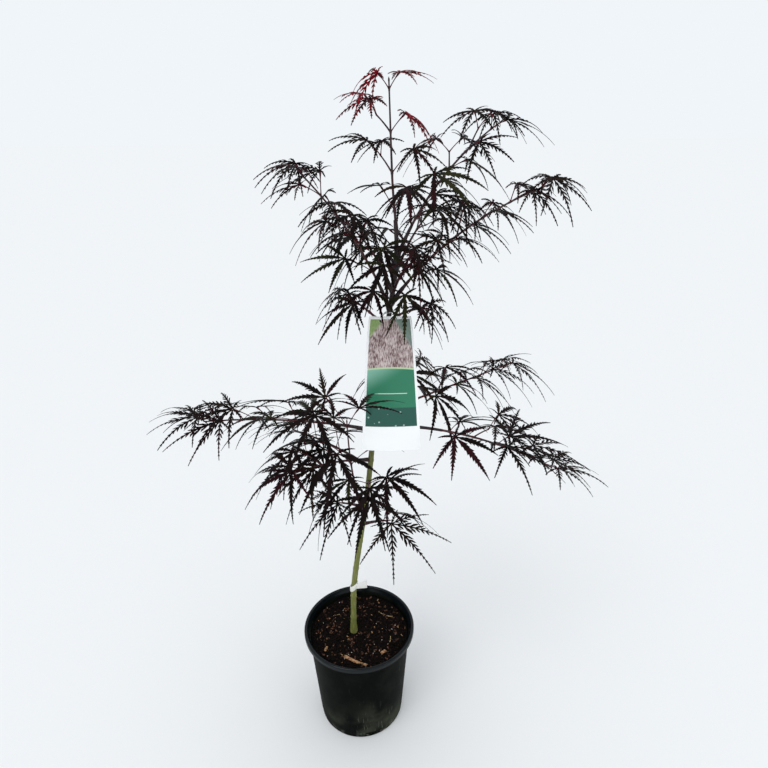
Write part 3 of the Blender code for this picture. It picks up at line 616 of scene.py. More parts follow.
# Boughs: thin young shoots, each grown from a bud on the stem and set in a swollen collar there. The bark is
# smooth and purple-black, with a bloom and a ring of scars at each old leaf pair.
Shoot = namedtuple("Shoot", "name foot heading rise fall length bare pairs roll turn leaf stalk pitch seed")
SHOOTS = (
    Shoot("leader", 717, 0, 90, 90, 176, 40, 4, 55, -25, 52, 31, 20, 373),
    Shoot("upper_right", 711, 19, 68, 32, 186, 44, 5, -30, 90, 64, 28, 24, 524),
    Shoot("right", 662, -14, 56, 22, 214, 36, 6, 80, 90, 58, 25, 32, 363),
    Shoot("left", 655, 200, 70, 46, 184, 42, 6, 100, 90, 58, 28, 22, 609),
    Shoot("left_short", 632, 210, 50, 36, 70, 24, 2, 90, 90, 56, 24, 32, 887),
    Shoot("right_short", 640, -36, 42, 10, 58, 22, 2, 80, 90, 52, 18, 46, 393),
    Shoot("back_left", 676, 128, 58, 16, 118, 36, 3, -30, 90, 58, 23, 38, 880),
    Shoot("back_right", 690, 58, 55, 18, 112, 34, 3, 0, 90, 58, 30, 16, 517),
    Shoot("front", 671, -70, 56, 22, 88, 30, 2, 0, 90, 56, 22, 40, 217),
    Shoot("low_back_right", 518, 25, 10, 8, 200, 52, 5, 10, 90, 78, 28, 30, 916),
    Shoot("low_right", 503, -15, 9, -24, 224, 88, 5, 10, 90, 76, 26, 8, 659),
    Shoot("low_left", 496, 188, 17, 0, 206, 56, 5, -20, 90, 82, 32, 14, 156),
    Shoot("riser", 360, 246, 66, 88, 170, 42, 3, 0, 20, 74, 56, -26, 304),
    Shoot("low_left_front", 452, 202, 16, -10, 100, 34, 3, -30, 90, 80, 27, 34, 101),
    Shoot("low_front", 416, -88, 38, 6, 84, 28, 2, 0, 90, 76, 26, 20, 384),
    Shoot("low_back", 532, 64, 16, 0, 122, 48, 3, 10, 90, 76, 24, 32, 161),
    Shoot("low_back_left", 440, 144, 16, -4, 138, 50, 3, -20, 90, 78, 30, 14, 102),
    Shoot("foot_left", 376, 196, 30, 16, 40, 22, 1, -10, 90, 82, 28, 40, 438),
    Shoot("foot_right", 348, -4, 20, 4, 36, 22, 1, 0, 90, 102, 22, 30, 400),
)
BOUGH_SIDES = 16
BOUGH_SWELL = 0.006
BOUGH_TIP_RADIUS = 1.7 * MM
BOUGH_STEP = 1.2 * MM
COLLAR_SWELL = 0.45
COLLAR_REACH = 5 * MM
COLLAR_SCAR = 4 * MM
BARE_SCAR = 0.62
TWIG_ROOT_RADIUS = 1.5 * MM


def direction(heading, slope):
    """Unit vector from a heading in plan and a slope above the level, in degrees."""
    h = math.radians(heading)
    s = math.radians(slope)
    return np.array([math.cos(h) * math.cos(s), math.sin(h) * math.cos(s), math.sin(s)])


def shoot_path(shoot, steps=20):
    """Points along a shoot, from the stem's middle out; its slope turns evenly from rise to fall."""
    length = shoot.length * MM
    if shoot.name == "leader":
        return np.array([stem_at(FORK_HEIGHT + length * k / steps)[0] for k in range(steps + 1)])
    points = [stem_at(shoot.foot * MM)[0]]
    for k in range(steps):
        slope = shoot.rise + (shoot.fall - shoot.rise) * (k + 0.5) / steps
        points.append(points[-1] + direction(shoot.heading, slope) * length / steps)
    return np.array(points)


def along(path, distance):
    """Point and direction at a distance along a path."""
    spans = np.linalg.norm(np.diff(path, axis=0), axis=1)
    reached = np.concatenate([[0.0], np.cumsum(spans)])
    distance = min(max(distance, 0.0), reached[-1])
    i = min(int(np.searchsorted(reached, distance, side="right")) - 1, len(spans) - 1)
    step = path[i + 1] - path[i]
    return path[i] + (distance - reached[i]) / spans[i] * step, unit(step)


def stretch(path, start, end, steps):
    """Evenly spaced points of a path between two distances."""
    return np.array([along(path, start + (end - start) * k / steps)[0] for k in range(steps + 1)])


boughs = Heap()
for shoot in SHOOTS[1:]:
    bare = shoot.bare * MM
    steps = int(bare / BOUGH_STEP)
    root_radius = TWIG_ROOT_RADIUS + BOUGH_SWELL * shoot.length * MM
    stem_radius = stem_at(shoot.foot * MM)[1]
    distances = np.linspace(0, bare, steps + 1)
    collar = 1 + COLLAR_SWELL * np.exp(-np.maximum(distances - stem_radius, 0) / COLLAR_REACH)
    radii = np.linspace(root_radius, BOUGH_TIP_RADIUS, steps + 1) * collar
    line = stretch(shoot_path(shoot), 0, bare, steps)
    scars = (stem_radius + COLLAR_SCAR, BARE_SCAR * bare)
    boughs.add(*barked(line, radii, scars, BOUGH_SIDES, shoot.seed))
bough_low = tint(58, 30, 34)
bough_skin = bark_finish("bough_skin", bough_low, tint(40, 24, 29), 380 * MM, 520 * MM, tint(112, 84, 84))
bough_piece = boughs.piece("bough_bark", bough_skin, "bark")
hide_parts(*["bough_" + shoot.name for shoot in SHOOTS[1:]])

# Ties: a white tape is wrapped round the stem low down, with one end left free, and a black tape is wound
# twice round it just under the fork. Both are soft plastic, pulled tight by hand.
TIE_WIDTH = 9 * MM
TIE_THICKNESS = 0.9 * MM
TIE_CLEAR = 0.6 * MM
TAPE_STEPS = 72
TAIL_STEPS = 8
TAIL_WIDENING = 0.5
TAIL_WAY = np.array([1.0, -0.35, 0.55])
TAIL_FACING = np.array([0.3, -1.0, 0.0])
TAPE_EDGE = ((0.0, -0.5), (0.5, -0.5), (0.7, -0.46), (0.7, 0.46), (0.5, 0.5), (0.0, 0.5))
TAPE_LAYER = 0.35


def wound_tape(height, turns, rise, slant, tail, width):
    """A flat tape wound round the stem, with a rounded edge and a free tail that stands off it and widens."""
    rows = []
    for k in range(TAPE_STEPS + 1):
        share = k / TAPE_STEPS
        a = 2 * math.pi * turns * share + math.pi
        level = height + rise * (share - 0.5) + slant * math.cos(a)
        centre, radius = stem_at(level)
        out = np.array([math.cos(a), math.sin(a), 0.0])
        reach = radius + TIE_CLEAR + TAPE_LAYER * TIE_THICKNESS * share * turns
        rows.append((centre + reach * out, out, width))
    for k in range(1, TAIL_STEPS + 1):
        share = k / TAIL_STEPS
        place = rows[TAPE_STEPS][0] + tail * share * TAIL_WAY
        rows.append((place, TAIL_FACING, width * (1 + TAIL_WIDENING * share)))
    verts = []
    for centre, out, wide in rows:
        outward = TIE_THICKNESS * unit(out)
        verts.extend(centre + depth * outward + wide * share * UP for depth, share in TAPE_EDGE)
    return verts, tube_faces(len(rows), len(TAPE_EDGE))


def tape_finish(name, colour, shade, roughness):
    """Soft plastic tape with fine cross creases and a little grime."""
    finish = Finish(name, specular_ior_level=0.4)
    creases = finish.streaked(3.0, (500, 500, 160))
    mixed = finish.mix(colour, shade, finish.step(creases, 0.5, 0.75) * 0.6)
    return finish.dress(mixed, roughness + 0.15 * creases, creases, 0.3 * MM)


def middle_height(node):
    low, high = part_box(node)
    return (low.z + high.z) / 2


white_finish = tape_finish("white_tape", tint(232, 232, 226), tint(196, 194, 184), 0.42)
white_tape = wound_tape(middle_height("tie_white"), 1.35, 1 * MM, 4.5 * MM, 16 * MM, TIE_WIDTH)
white_tie = add_piece("stem_tie_white", *white_tape, white_finish, "tie_white")
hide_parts("tie_white")
black_finish = tape_finish("black_tape", tint(22, 22, 24), tint(52, 52, 56), 0.38)
black_tape = wound_tape(middle_height("tie_black"), 2.1, 2 * MM, 0, 6 * MM, TIE_WIDTH)
black_tie = add_piece("stem_tie_black", *black_tape, black_finish, "tie_black")
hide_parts("tie_black")

# Card: a printed plastic card that widens downwards and is curled a little by the weather. It hangs from the
# stem by a thin white loop through the hole in its head. Its front is printed with a plain pattern, and its
# back is white.
CARD_HEAD = Vector((0.0505, -0.013, 0.651))
CARD_LENGTH = 163 * MM
CARD_HEAD_HALF = 24 * MM
CARD_FOOT_HALF = 36 * MM
CARD_THICKNESS = 0.8 * MM
CARD_LEAN = 11
CARD_HOLE_RADIUS = 2.4 * MM
CARD_HOLE_DROP = 5 * MM
CARD_HOLE_ACROSS = -10 * MM
PUNCH_REACH = (-3 * MM, 4 * MM)
PUNCH_SIDES = 40
CARD_CURL = 4 * MM
CARD_WIDENING = 0.7
CARD_ROWS = 60
CARD_COLUMNS = 28


def card_point(down, across, out=0.0):
    """A place on the card: down from its head, across from its middle, and out from its face."""
    lean = math.radians(CARD_LEAN)
    curl = CARD_CURL * (across / CARD_FOOT_HALF) ** 2
    front = -math.sin(lean) * down + math.cos(lean) * (curl - out)
    return np.array(CARD_HEAD) + (across, front, -math.cos(lean) * down - math.sin(lean) * (curl - out))


def card_half(down):
    return CARD_HEAD_HALF + (CARD_FOOT_HALF - CARD_HEAD_HALF) * (down / CARD_LENGTH) ** CARD_WIDENING


def card_finish():
    """Gloss print: a streaky mauve field with pale green corners over a green one, inside a white border."""
    finish = Finish("card_print", specular_ior_level=0.3)
    across = finish.axis("X", finish.place("UV"))
    down = finish.axis("Y", finish.place("UV"))
    streak = finish.speckle(1.0, 5.0, finish.flat(across * 42 + down * 24, down * 30 - across * 14))
    blot = finish.speckle(1.0, 2.0, finish.flat(across * 4, down * 9))
    field = finish.mix(tint(104, 74, 74), tint(212, 196, 194), finish.step(streak + 0.5 * blot, 0.56, 0.93))
    near_left = finish.step(0.3 - across - 2.4 * down + 0.3 * blot, 0, 0.1)
    near_right = finish.step(across - 1.7 * down - 0.62 + 0.2 * blot, 0, 0.1)
    field = finish.mix(field, tint(132, 168, 88), near_left * 0.8)
    field = finish.mix(field, tint(112, 138, 126), near_right * 0.9)
    bow = across * (1 - across)
    green = finish.mix(tint(132, 184, 164), tint(50, 126, 96), finish.step(down + 0.25 * across, 0.40, 0.60))
    edge = down + 0.06 * bow
    picture = finish.mix(field, tint(190, 214, 170), finish.step(edge, 0.378, 0.384))
    picture = finish.mix(picture, green, finish.step(edge, 0.390, 0.396))
    band = finish.step(down, 0.664, 0.676)
    picture = finish.mix(picture, tint(40, 88, 76), band)
    grid = {"Vector": finish.flat(across * 7, down * 16), "Scale": 1.3}
    spots = finish.node("ShaderNodeTexVoronoi", {}, grid) < 0.15
    picture = finish.mix(picture, tint(176, 200, 192), spots * band * 0.7)
    line = (down > 0.560) * (down < 0.566)
    picture = finish.mix(picture, tint(206, 226, 214), line * (across > 0.2) * (across < 0.8))
    picture = finish.mix(picture, tint(252, 253, 253), finish.step(down, 0.813, 0.817))
    inside = (across > 0.045) * (across < 0.955) * (down > 0.02)
    colour = finish.mix(tint(252, 253, 253), picture, inside)
    roughness = 0.32 + 0.08 * finish.speckle(60.0)
    return finish.dress(colour, roughness, finish.speckle(120.0, 2.0), 0.05 * MM)


def card_mesh():
    """A closed thin sheet, back and front, joined round its edge."""
    verts = []
    for out in (0.0, CARD_THICKNESS):
        for i in range(CARD_ROWS + 1):
            down = CARD_LENGTH * i / CARD_ROWS
            for k in range(CARD_COLUMNS + 1):
                verts.append(card_point(down, card_half(down) * (2 * k / CARD_COLUMNS - 1), out))
    width = CARD_COLUMNS + 1
    layer = (CARD_ROWS + 1) * width
    faces = []
    for i in range(CARD_ROWS):
        for k in range(CARD_COLUMNS):
            a = i * width + k
            faces.append((a, a + 1, a + width + 1, a + width))
            faces.append((layer + a, layer + a + width, layer + a + width + 1, layer + a + 1))
    rim = list(range(width))
    rim += [i * width + CARD_COLUMNS for i in range(1, CARD_ROWS + 1)]
    rim += [CARD_ROWS * width + k for k in range(CARD_COLUMNS - 1, -1, -1)]
    rim += [i * width for i in range(CARD_ROWS - 1, 0, -1)]
    for a, b in zip(rim, rim[1:] + rim[:1]):
        faces.append((a, layer + a, layer + b, b))
    return verts, faces


card = add_piece("hanging_card", *card_mesh(), card_finish(), "card")
card_map = card.data.uv_layers.new(name="print")
SHEET_VERTS = (CARD_ROWS + 1) * (CARD_COLUMNS + 1)
SHEET_FACES = 2 * CARD_ROWS * CARD_COLUMNS
for face in card.data.polygons:
    for corner in face.loop_indices:
        front, spot = divmod(card.data.loops[corner].vertex_index, SHEET_VERTS)
        row, column = divmod(spot, CARD_COLUMNS + 1)
        across = column / CARD_COLUMNS if front and face.index < SHEET_FACES else 0
        card_map.data[corner].uv = (across, row / CARD_ROWS)
punch = [card_point(CARD_HOLE_DROP, CARD_HOLE_ACROSS, out) for out in PUNCH_REACH]
cut_away(card, *tube(punch, [CARD_HOLE_RADIUS] * 2, PUNCH_SIDES))
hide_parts("card")

LOOP_HEIGHT = 652 * MM
LOOP_WIRE = 0.6 * MM
LOOP_SIDES = 14
LOOP_SLACK = 2 * MM
LOOP_CLEAR = 0.3 * MM
LOOP_STEPS = 14


def smooth_ring(knots, steps):
    """Points of a smooth closed curve through its knots."""
    count = len(knots)
    points = []
    for i in range(count):
        before, here, there, after = (knots[(i + k - 1) % count] for k in range(4))
        for t in np.linspace(0, 1, steps, endpoint=False):
            bend = (2 * before - 5 * here + 4 * there - after) * t**2
            twist = (3 * here - before - 3 * there + after) * t**3
            points.append(0.5 * (2 * here + (there - before) * t + bend + twist))
    return points


def loop_mesh():
    """The loop: through the card's hole, round the back of the stem and over the card's head."""
    eye = card_point(CARD_HOLE_DROP, CARD_HOLE_ACROSS, 0.5 * CARD_THICKNESS)
    head = card_point(0, CARD_HOLE_ACROSS)
    centre, radius = stem_at(LOOP_HEIGHT)
    wide = radius + LOOP_WIRE + LOOP_SLACK
    knots = [
        eye,
        eye + np.array([0.5, 5, 2]) * MM,
        centre + np.array([-wide, -1 * MM, 0]),
        centre + np.array([0, radius + LOOP_WIRE + LOOP_CLEAR, 0]),
        centre + np.array([wide, -1 * MM, 0.5 * MM]),
        np.array([head[0] + 3 * MM, head[1], head[2] + 3 * MM]),
        np.array([eye[0] + 1 * MM, eye[1] - 3 * MM, eye[2] + 3 * MM]),
    ]
    path = smooth_ring(knots, LOOP_STEPS)
    count = len(path)
    verts, _ = tube(path + path[:2], [LOOP_WIRE] * (count + 2), LOOP_SIDES)
    return verts[: count * LOOP_SIDES], tube_faces(count, LOOP_SIDES, True)


loop_skin = tape_finish("white_loop", tint(226, 228, 226), tint(196, 200, 198), 0.32)
loop_piece = add_piece("card_hanger", *loop_mesh(), loop_skin, "loop")
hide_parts("card_loop")

# Leafy twigs: where the boughs end, their young growth runs on, thinner and redder, with a small swelling at
# each pair of leaves, a short side twig at some of them, and a pointed bud at the tip. Slender red stalks
# stand out from each pair and carry the leaves.
TWIG_TIP_RADIUS = 0.8 * MM
TWIG_SIDES = 9
TWIG_STEP = 2.2 * MM
NODE_SWELL = 0.4
NODE_HALF = 1.6 * MM
BUD_LENGTH = 4.5 * MM
BUD_SHARES = (0.25, 0.6, 1.0)
BUD_RADII = (1.3 * TWIG_TIP_RADIUS, TWIG_TIP_RADIUS, 0.15 * MM)
FIRST_PAIR = 9 * MM
LAST_PAIR = 7 * MM
FORK_CHANCE = 0.12
FORK_LENGTH = 22 * MM
FORK_SHRINK = 0.86
FORK_LEAN = 0.9
FORK_LIFT = 0.25
FORK_YOUTH = 0.6
FORK_STEPS = 8
FORK_SAG = 0.8 * MM
FORK_NODE = FORK_LENGTH - 1 * MM
FORK_RADII = (1.0 * MM, 0.7 * MM)
PAIR_JITTER = 14
PAIR_FLATNESS = 0.7
STALK_LIFT = 0.38
STALK_LIFT_BELOW = 0.8
STALK_LEAN = 0.4
STALK_LEAN_GAIN = 0.5
STALK_LONG = 1.1
STALK_LOSS = 0.35
STALK_VARY = (0.75, 1.15)
BLADE_FOLLOW = 0.35
HEADING_SPREAD = 24
PITCH_SPREAD = 18
TILT_SPREAD = 30
SIZE_VARY = (0.88, 1.1)
SIZE_FIRST = 1.04
SIZE_LOSS = 0.08
DROOP = (0.05, 0.27)
LOBE_DRAWS = 7
LOBE_TURN = 6
LOBE_VARY = (0.92, 1.06)

Leaf = namedtuple("Leaf", "shoot root hub ahead normal size droop lobes age")


def make_leaf(rng, shoot, node, tangent, out, fraction, shrink):
    """One leaf: its stalk leaves the node outwards and upwards, and its blade droops from the hub."""
    lift = STALK_LIFT if out[2] > -0.5 else STALK_LIFT_BELOW
    lean = STALK_LEAN + STALK_LEAN_GAIN * fraction
    stalk_way = unit(out + lean * tangent + lift * UP)
    stalk = shoot.stalk * MM * (STALK_LONG - STALK_LOSS * fraction) * rng.uniform(*STALK_VARY)
    hub = node + stalk_way * stalk
    level = (stalk_way + BLADE_FOLLOW * tangent) * np.array([1.0, 1.0, 0.0])
    heading = math.degrees(math.atan2(level[1], level[0])) + rng.uniform(-HEADING_SPREAD, HEADING_SPREAD)
    ahead = direction(heading, -(shoot.pitch + rng.uniform(-PITCH_SPREAD, PITCH_SPREAD)))
    across = unit(np.cross(UP, ahead))
    tilt = math.radians(rng.uniform(-TILT_SPREAD, TILT_SPREAD))
    normal = math.cos(tilt) * np.cross(ahead, across) + math.sin(tilt) * across
    size = shoot.leaf * MM * rng.uniform(*SIZE_VARY) * shrink
    droop = rng.uniform(*DROOP)
    turns = rng.uniform(-LOBE_TURN, LOBE_TURN, LOBE_DRAWS)
    lengths = rng.uniform(*LOBE_VARY, LOBE_DRAWS)
    lobes = tuple(zip(turns, lengths))
    return Leaf(shoot.name, node, hub, ahead, normal, size, droop, lobes, 1 - fraction)


def shoot_leaves(shoot, path):
    """Opposite leaves in pairs, each pair turned against the last; some nodes bear a short side twig."""
    rng = np.random.default_rng(shoot.seed)
    leaves = []
    twigs = []
    first = shoot.bare * MM + FIRST_PAIR
    last = shoot.length * MM - LAST_PAIR
    for k in range(shoot.pairs):
        fraction = k / (shoot.pairs - 1) if shoot.pairs > 1 else 1.0
        node, tangent = along(path, first + (last - first) * fraction)
        level = np.cross(tangent, UP)
        level = unit(level) if np.linalg.norm(level) > 0.2 else np.array([1.0, 0.0, 0.0])
        over = np.cross(level, tangent)
        shrink = SIZE_FIRST - SIZE_LOSS * fraction
        for side in (1, -1):
            turn = math.radians(shoot.roll + shoot.turn * k + rng.uniform(-PAIR_JITTER, PAIR_JITTER))
            out = side * (math.cos(turn) * level + PAIR_FLATNESS * math.sin(turn) * over)
            forked = rng.uniform() < FORK_CHANCE and 0 < k < shoot.pairs - 1
            if not forked:
                leaves.append(make_leaf(rng, shoot, node, tangent, out, fraction, shrink))
                continue
            way = unit(out + FORK_LEAN * tangent + FORK_LIFT * UP)
            tip = node + way * FORK_LENGTH
            twigs.append((node, tip))
            spread = unit(np.cross(way, UP))
            for fork in (1, -1):
                out = fork * spread
                leaves.append(make_leaf(rng, shoot, tip, way, out, FORK_YOUTH, FORK_SHRINK * shrink))
    return leaves, twigs


def bent(start, end, sag, steps):
    """A slightly arched line between two points."""
    shares = np.linspace(0, 1, steps + 1)[:, None]
    return start + shares * (end - start) + 4 * shares * (1 - shares) * sag


def swollen(distances, nodes, root, tip):
    """Radii that taper from root to tip, with a small swelling at each node."""
    radii = np.linspace(root, tip, len(distances))
    for node in nodes:
        radii = radii * (1 + NODE_SWELL * np.exp(-(((distances - node) / NODE_HALF) ** 2)))
    return radii


def shoot_stem(shoot, path):
    """The leafy stretch of a shoot, drawn out to a pointed bud."""
    start = shoot.bare * MM
    end = shoot.length * MM
    steps = int((end - start) / TWIG_STEP)
    distances = np.linspace(start, end, steps + 1)
    first = start + FIRST_PAIR
    nodes = np.linspace(first, end - LAST_PAIR, shoot.pairs) if shoot.pairs > 1 else [end - LAST_PAIR]
    radii = swollen(distances, nodes, TWIG_ROOT_RADIUS, TWIG_TIP_RADIUS)
    line = stretch(path, start, end, steps)
    way = unit(line[-1] - line[-2])
    bud = [line[-1] + way * BUD_LENGTH * share for share in BUD_SHARES]
    return tube(np.vstack([line, bud]), [*radii, *BUD_RADII], TWIG_SIDES)


STALK_SIDES = 7
STALK_RADII = (0.95, 0.62, 0.52, 0.5, 0.5, 0.56, 0.8, 1.15, 0.9)
STALK_SAG = 0.05

twig_heap = Heap()
stalk_heap = Heap()
crown = []
for shoot in SHOOTS:
    path = shoot_path(shoot)
    leaves, forks = shoot_leaves(shoot, path)
    twig_heap.add(*shoot_stem(shoot, path))
    for root, tip in forks:
        line = bent(root, tip, FORK_SAG * UP, FORK_STEPS)
        radii = swollen(np.linspace(0, FORK_LENGTH, FORK_STEPS + 1), [FORK_NODE], *FORK_RADII)
        twig_heap.add(*tube(line, radii, TWIG_SIDES))
    crown += leaves

twig_low = tint(72, 31, 36)
twig_skin = bark_finish("twig_skin", twig_low, tint(42, 21, 26), 640 * MM, 860 * MM, tint(136, 92, 88))
twigs = twig_heap.piece("leafy_twigs", twig_skin, "bark")
foliage_nodes = ["foliage_" + shoot.name for shoot in SHOOTS]
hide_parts(*foliage_nodes)

# Leaves: each is a hand of seven narrow lobes that meet at the stalk's tip. Young ones are cut almost to the
# midrib into forward-pointing teeth; old ones are broader with a finely toothed edge. All end in long thin
# tips, and hang in a soft arch. New growth at the top is crimson, and the rest purple-black, bronze or olive.
LOBES = ((0, 1.0), (37, 0.93), (-37, 0.93), (76, 0.72), (-76, 0.72), (124, 0.32), (-124, 0.32))
LOBE_SHORTEN = 0.12
LOBE_ARCH = 0.22
BLADE_START = 0.09
BLADE_END = 0.92
HUB_SHARE = 0.01
TAIL_SHARES = (0.96, 1.0)
RIB_HALF = 0.76 * MM
RIB_LOSS = 0.45
OLDEST_CUT = 0.3
CUT_VARY = (-0.15, 0.3)
OLD_AGE = 0.75
OLD_SHOOTS = ("riser", "low_front", "low_left_front")
CRIMSON_FROM = 840 * MM
NEWEST_BREADTH = 1.45
NEWEST_SPACING = 1.1
FEATHERED = 0.72
NEWEST_FEATHERED = 0.98
LEAST_LEAFLETS = 4
LEAFLETS_CLOSER = 1.25
LEAFLET_VARY = (0.7, 1.25)
SLANT_VARY = (0.85, 1.15)
USUAL_LOBE = 70 * MM
TOOTH = 0.9 * MM
LEAFLET_PLUMP = 0.21
BLADE_THICKNESS = 0.4 * MM
FOLD = 14
FOLD_VARY = (0.2, 1.7)
TWIST = 22
CARD_ROOM = 2.4 * MM
STEM_GAP = 2.2 * MM
CLEAR_ROWS = 40
CLEAR_COLUMNS = 19
CLEAR_STEP = 4 * MM
LOBE_TESTS = np.linspace(0.04, 1, 22)
STALK_TESTS = 6

# Each pair is for an uncut blade and for one that is cut to the midrib.
TOOTH_DEPTH = (0.3, 0.94)
HALF_WIDTH = (0.058, 0.089)
SPACING = (4.4 * MM, 6.0 * MM)
ROOT_SHARE = (0.9, 0.46)
SLANT = (0.6, 1.4)
NEWEST_SLANT = (0.6, 1.0)


def lobe_curve(leaf, index, shares):
    """Points on a lobe's midrib at shares of its length: out from the hub, then drooping."""
    angle, length = LOBES[index]
    turn, vary = leaf.lobes[index]
    a = math.radians(angle + turn)
    way = math.cos(a) * leaf.ahead + math.sin(a) * np.cross(leaf.normal, leaf.ahead)
    s = np.asarray(shares)[:, None]
    reach = leaf.size * length * vary
    arch = LOBE_ARCH * s * (1 - s) * leaf.normal
    return leaf.hub + reach * (s * (1 - LOBE_SHORTEN * s) * way + arch - leaf.droop * s**2 * UP)


def lobe_faces(leaflets, stations):
    """Faces of a closed blade: six verts a station, then three for each leaflet, left ones first."""
    faces = [(2, 3, 1, 0), (0, 1, 5, 4)]
    end = 6 * (stations - 1)
    faces += [(end, end + 1, end + 3, end + 2), (end + 4, end + 5, end + 1, end)]
    for s in range(stations - 1):
        a = 6 * s
        b = a + 6
        faces += [(a, a + 4, b + 4, b), (a + 2, a, b, b + 2)]
        faces += [(a + 1, b + 1, b + 5, a + 5), (a + 3, b + 3, b + 1, a + 1)]
        leaflet, past = divmod(s - 1, 2)
        if s < 1 or past or leaflet >= leaflets:
            faces += [(a + 5, b + 5, b + 4, a + 4), (a + 2, b + 2, b + 3, a + 3)]
            continue
        for side, top, low in ((0, 2, 3), (1, 4, 5)):
            back = 6 * stations + 3 * (leaflets * side + leaflet)
            tip = back + 1
            front = back + 2
            shape = [(a + top, back, tip), (a + top, tip, b + top), (b + top, tip, front)]
            shape += [(back, a + low, tip), (tip, a + low, b + low), (tip, b + low, front)]
            shape += [(a + top, a + low, back), (b + top, front, b + low)]
            faces += shape if side else [face[::-1] for face in shape]
    return faces


def eased(share):
    """A smooth run from 0 to 1."""
    share = np.clip(share, 0, 1)
    return share * share * (3 - 2 * share)


def between(pair, share):
    return pair[0] + (pair[1] - pair[0]) * share


FACE_SETS = {}


def is_crimson(leaf):
    """The newest leaves, at the top of the leader."""
    return leaf.shoot == "leader" and leaf.root[2] > CRIMSON_FROM


def lobe_blade(leaf, index, rng):
    """Verts and faces of one lobe: young ones have long free leaflets, old ones a toothed blade."""
    length = leaf.size * LOBES[index][1] * leaf.lobes[index][1]
    age = max(leaf.age, OLD_AGE) if leaf.shoot in OLD_SHOOTS else leaf.age
    cut = min(1.0, between((1.0, OLDEST_CUT), age) + rng.uniform(*CUT_VARY))
    newest = is_crimson(leaf)
    half = length * between(HALF_WIDTH, cut) * (NEWEST_BREADTH if newest else 1)
    spacing = between(SPACING, cut) * math.sqrt(length / USUAL_LOBE) * (NEWEST_SPACING if newest else 1)
    slant = between(NEWEST_SLANT if newest else SLANT, cut)
    feathered_share = NEWEST_FEATHERED if newest else FEATHERED
    leaflets = max(LEAST_LEAFLETS, int(length * (BLADE_END - BLADE_START) / spacing))
    bounds = 1 - (1 - np.arange(leaflets + 1) / leaflets) ** LEAFLETS_CLOSER
    bounds = BLADE_START + (BLADE_END - BLADE_START) * bounds
    starts = bounds[:-1]
    ends = starts + between(ROOT_SHARE, cut) * np.diff(bounds)
    shares = np.concatenate([[HUB_SHARE], np.column_stack([starts, ends]).ravel(), TAIL_SHARES])
    twist = math.radians(rng.uniform(-TWIST, TWIST))
    fold = math.radians(rng.uniform(*FOLD_VARY) * FOLD)

    def spread_at(share):
        """How far the blade spreads there, from 0 to about 1."""
        u = np.clip((share - BLADE_START) / (BLADE_END - BLADE_START), 0, 1)
        toothed = np.sin(math.pi * u**0.7) ** 0.85 * (1 - 0.35 * u)
        feathered = (0.5 + 0.5 * eased(u / 0.2)) * (1 - 0.9 * eased((u - 0.06) / feathered_share))
        return (1 - cut) * toothed + cut * feathered

    def framed(at):
        """The midrib there, with the blade's sideways and upward directions as it twists."""
        way = lobe_curve(leaf, index, at + 0.01) - lobe_curve(leaf, index, at - 0.01)
        way = way / np.linalg.norm(way, axis=1)[:, None]
        across = np.cross(way, leaf.normal)
        across = across / np.linalg.norm(across, axis=1)[:, None]
        over = np.cross(across, way)
        turn = (twist * at)[:, None]
        sideways = np.cos(turn) * across + np.sin(turn) * over
        return lobe_curve(leaf, index, at), sideways, np.cos(turn) * over - np.sin(turn) * across

    centre, across, over = framed(shares)
    rib = RIB_HALF * (1 - RIB_LOSS * shares**3)
    core = half * spread_at(shares) * (1 - between(TOOTH_DEPTH, cut)) + rib
    thick = (BLADE_THICKNESS * (1.1 - 0.7 * shares))[:, None]
    verts = np.zeros((len(shares), 6, 3))
    verts[:, 0] = centre + 0.5 * thick * over
    verts[:, 1] = centre - 0.9 * thick * over
    for slot, side in ((2, -1), (4, 1)):
        edge = centre + core[:, None] * (side * math.cos(fold) * across + math.sin(fold) * over)
        verts[:, slot] = edge + 0.3 * thick * over
        verts[:, slot + 1] = edge - 0.3 * thick * over
    rows = [verts.reshape(-1, 3)]
    for side in (-1, 1):
        out = half * spread_at(0.6 * starts + 0.4 * ends) * rng.uniform(*LEAFLET_VARY, leaflets) + TOOTH
        forward = slant * rng.uniform(*SLANT_VARY, leaflets) * out
        plump = LEAFLET_PLUMP * np.hypot(out, forward)
        tips = 0.5 * (starts + ends) + forward / length
        backs = 0.5 * (starts + tips) - (0.3 + 0.2 * cut) * plump / length
        fronts = ends + 0.6 * (tips - ends) + 0.3 * cut * plump / length
        free = []
        for at, far in ((backs, 0.5 * out + 0.5 * plump), (tips, out), (fronts, 0.6 * out - 0.25 * plump)):
            centre, across, over = framed(np.minimum(at, 0.98))
            lift = math.sin(fold) - 0.3 * cut * (far / out) ** 2
            free.append(centre + far[:, None] * (side * math.cos(fold) * across + lift[:, None] * over))
        rows.append(np.stack(free, axis=1).reshape(-1, 3))
    if leaflets not in FACE_SETS:
        FACE_SETS[leaflets] = lobe_faces(leaflets, len(shares))
    return np.vstack(rows), FACE_SETS[leaflets]


def clear_points():
    """Points on the card and the stem, each with the room that a lobe leaves round it."""
    points = []
    for down in np.linspace(0, CARD_LENGTH, CLEAR_ROWS):
        for share in np.linspace(-1, 1, CLEAR_COLUMNS):
            points.append(np.append(card_point(down, share * card_half(down)), CARD_ROOM))
    for height in np.arange(SOIL_TOP, FORK_HEIGHT, CLEAR_STEP):
        centre, radius = stem_at(height)
        points.append(np.append(centre, radius + STEM_GAP))
    return np.array(points)


def is_clear(points, others):
    """Whether every point is further from each of the others than its room."""
    apart = np.linalg.norm(points[:, None, :] - others[None, :, :3], axis=2) - others[None, :, 3]
    return apart.min() > 0


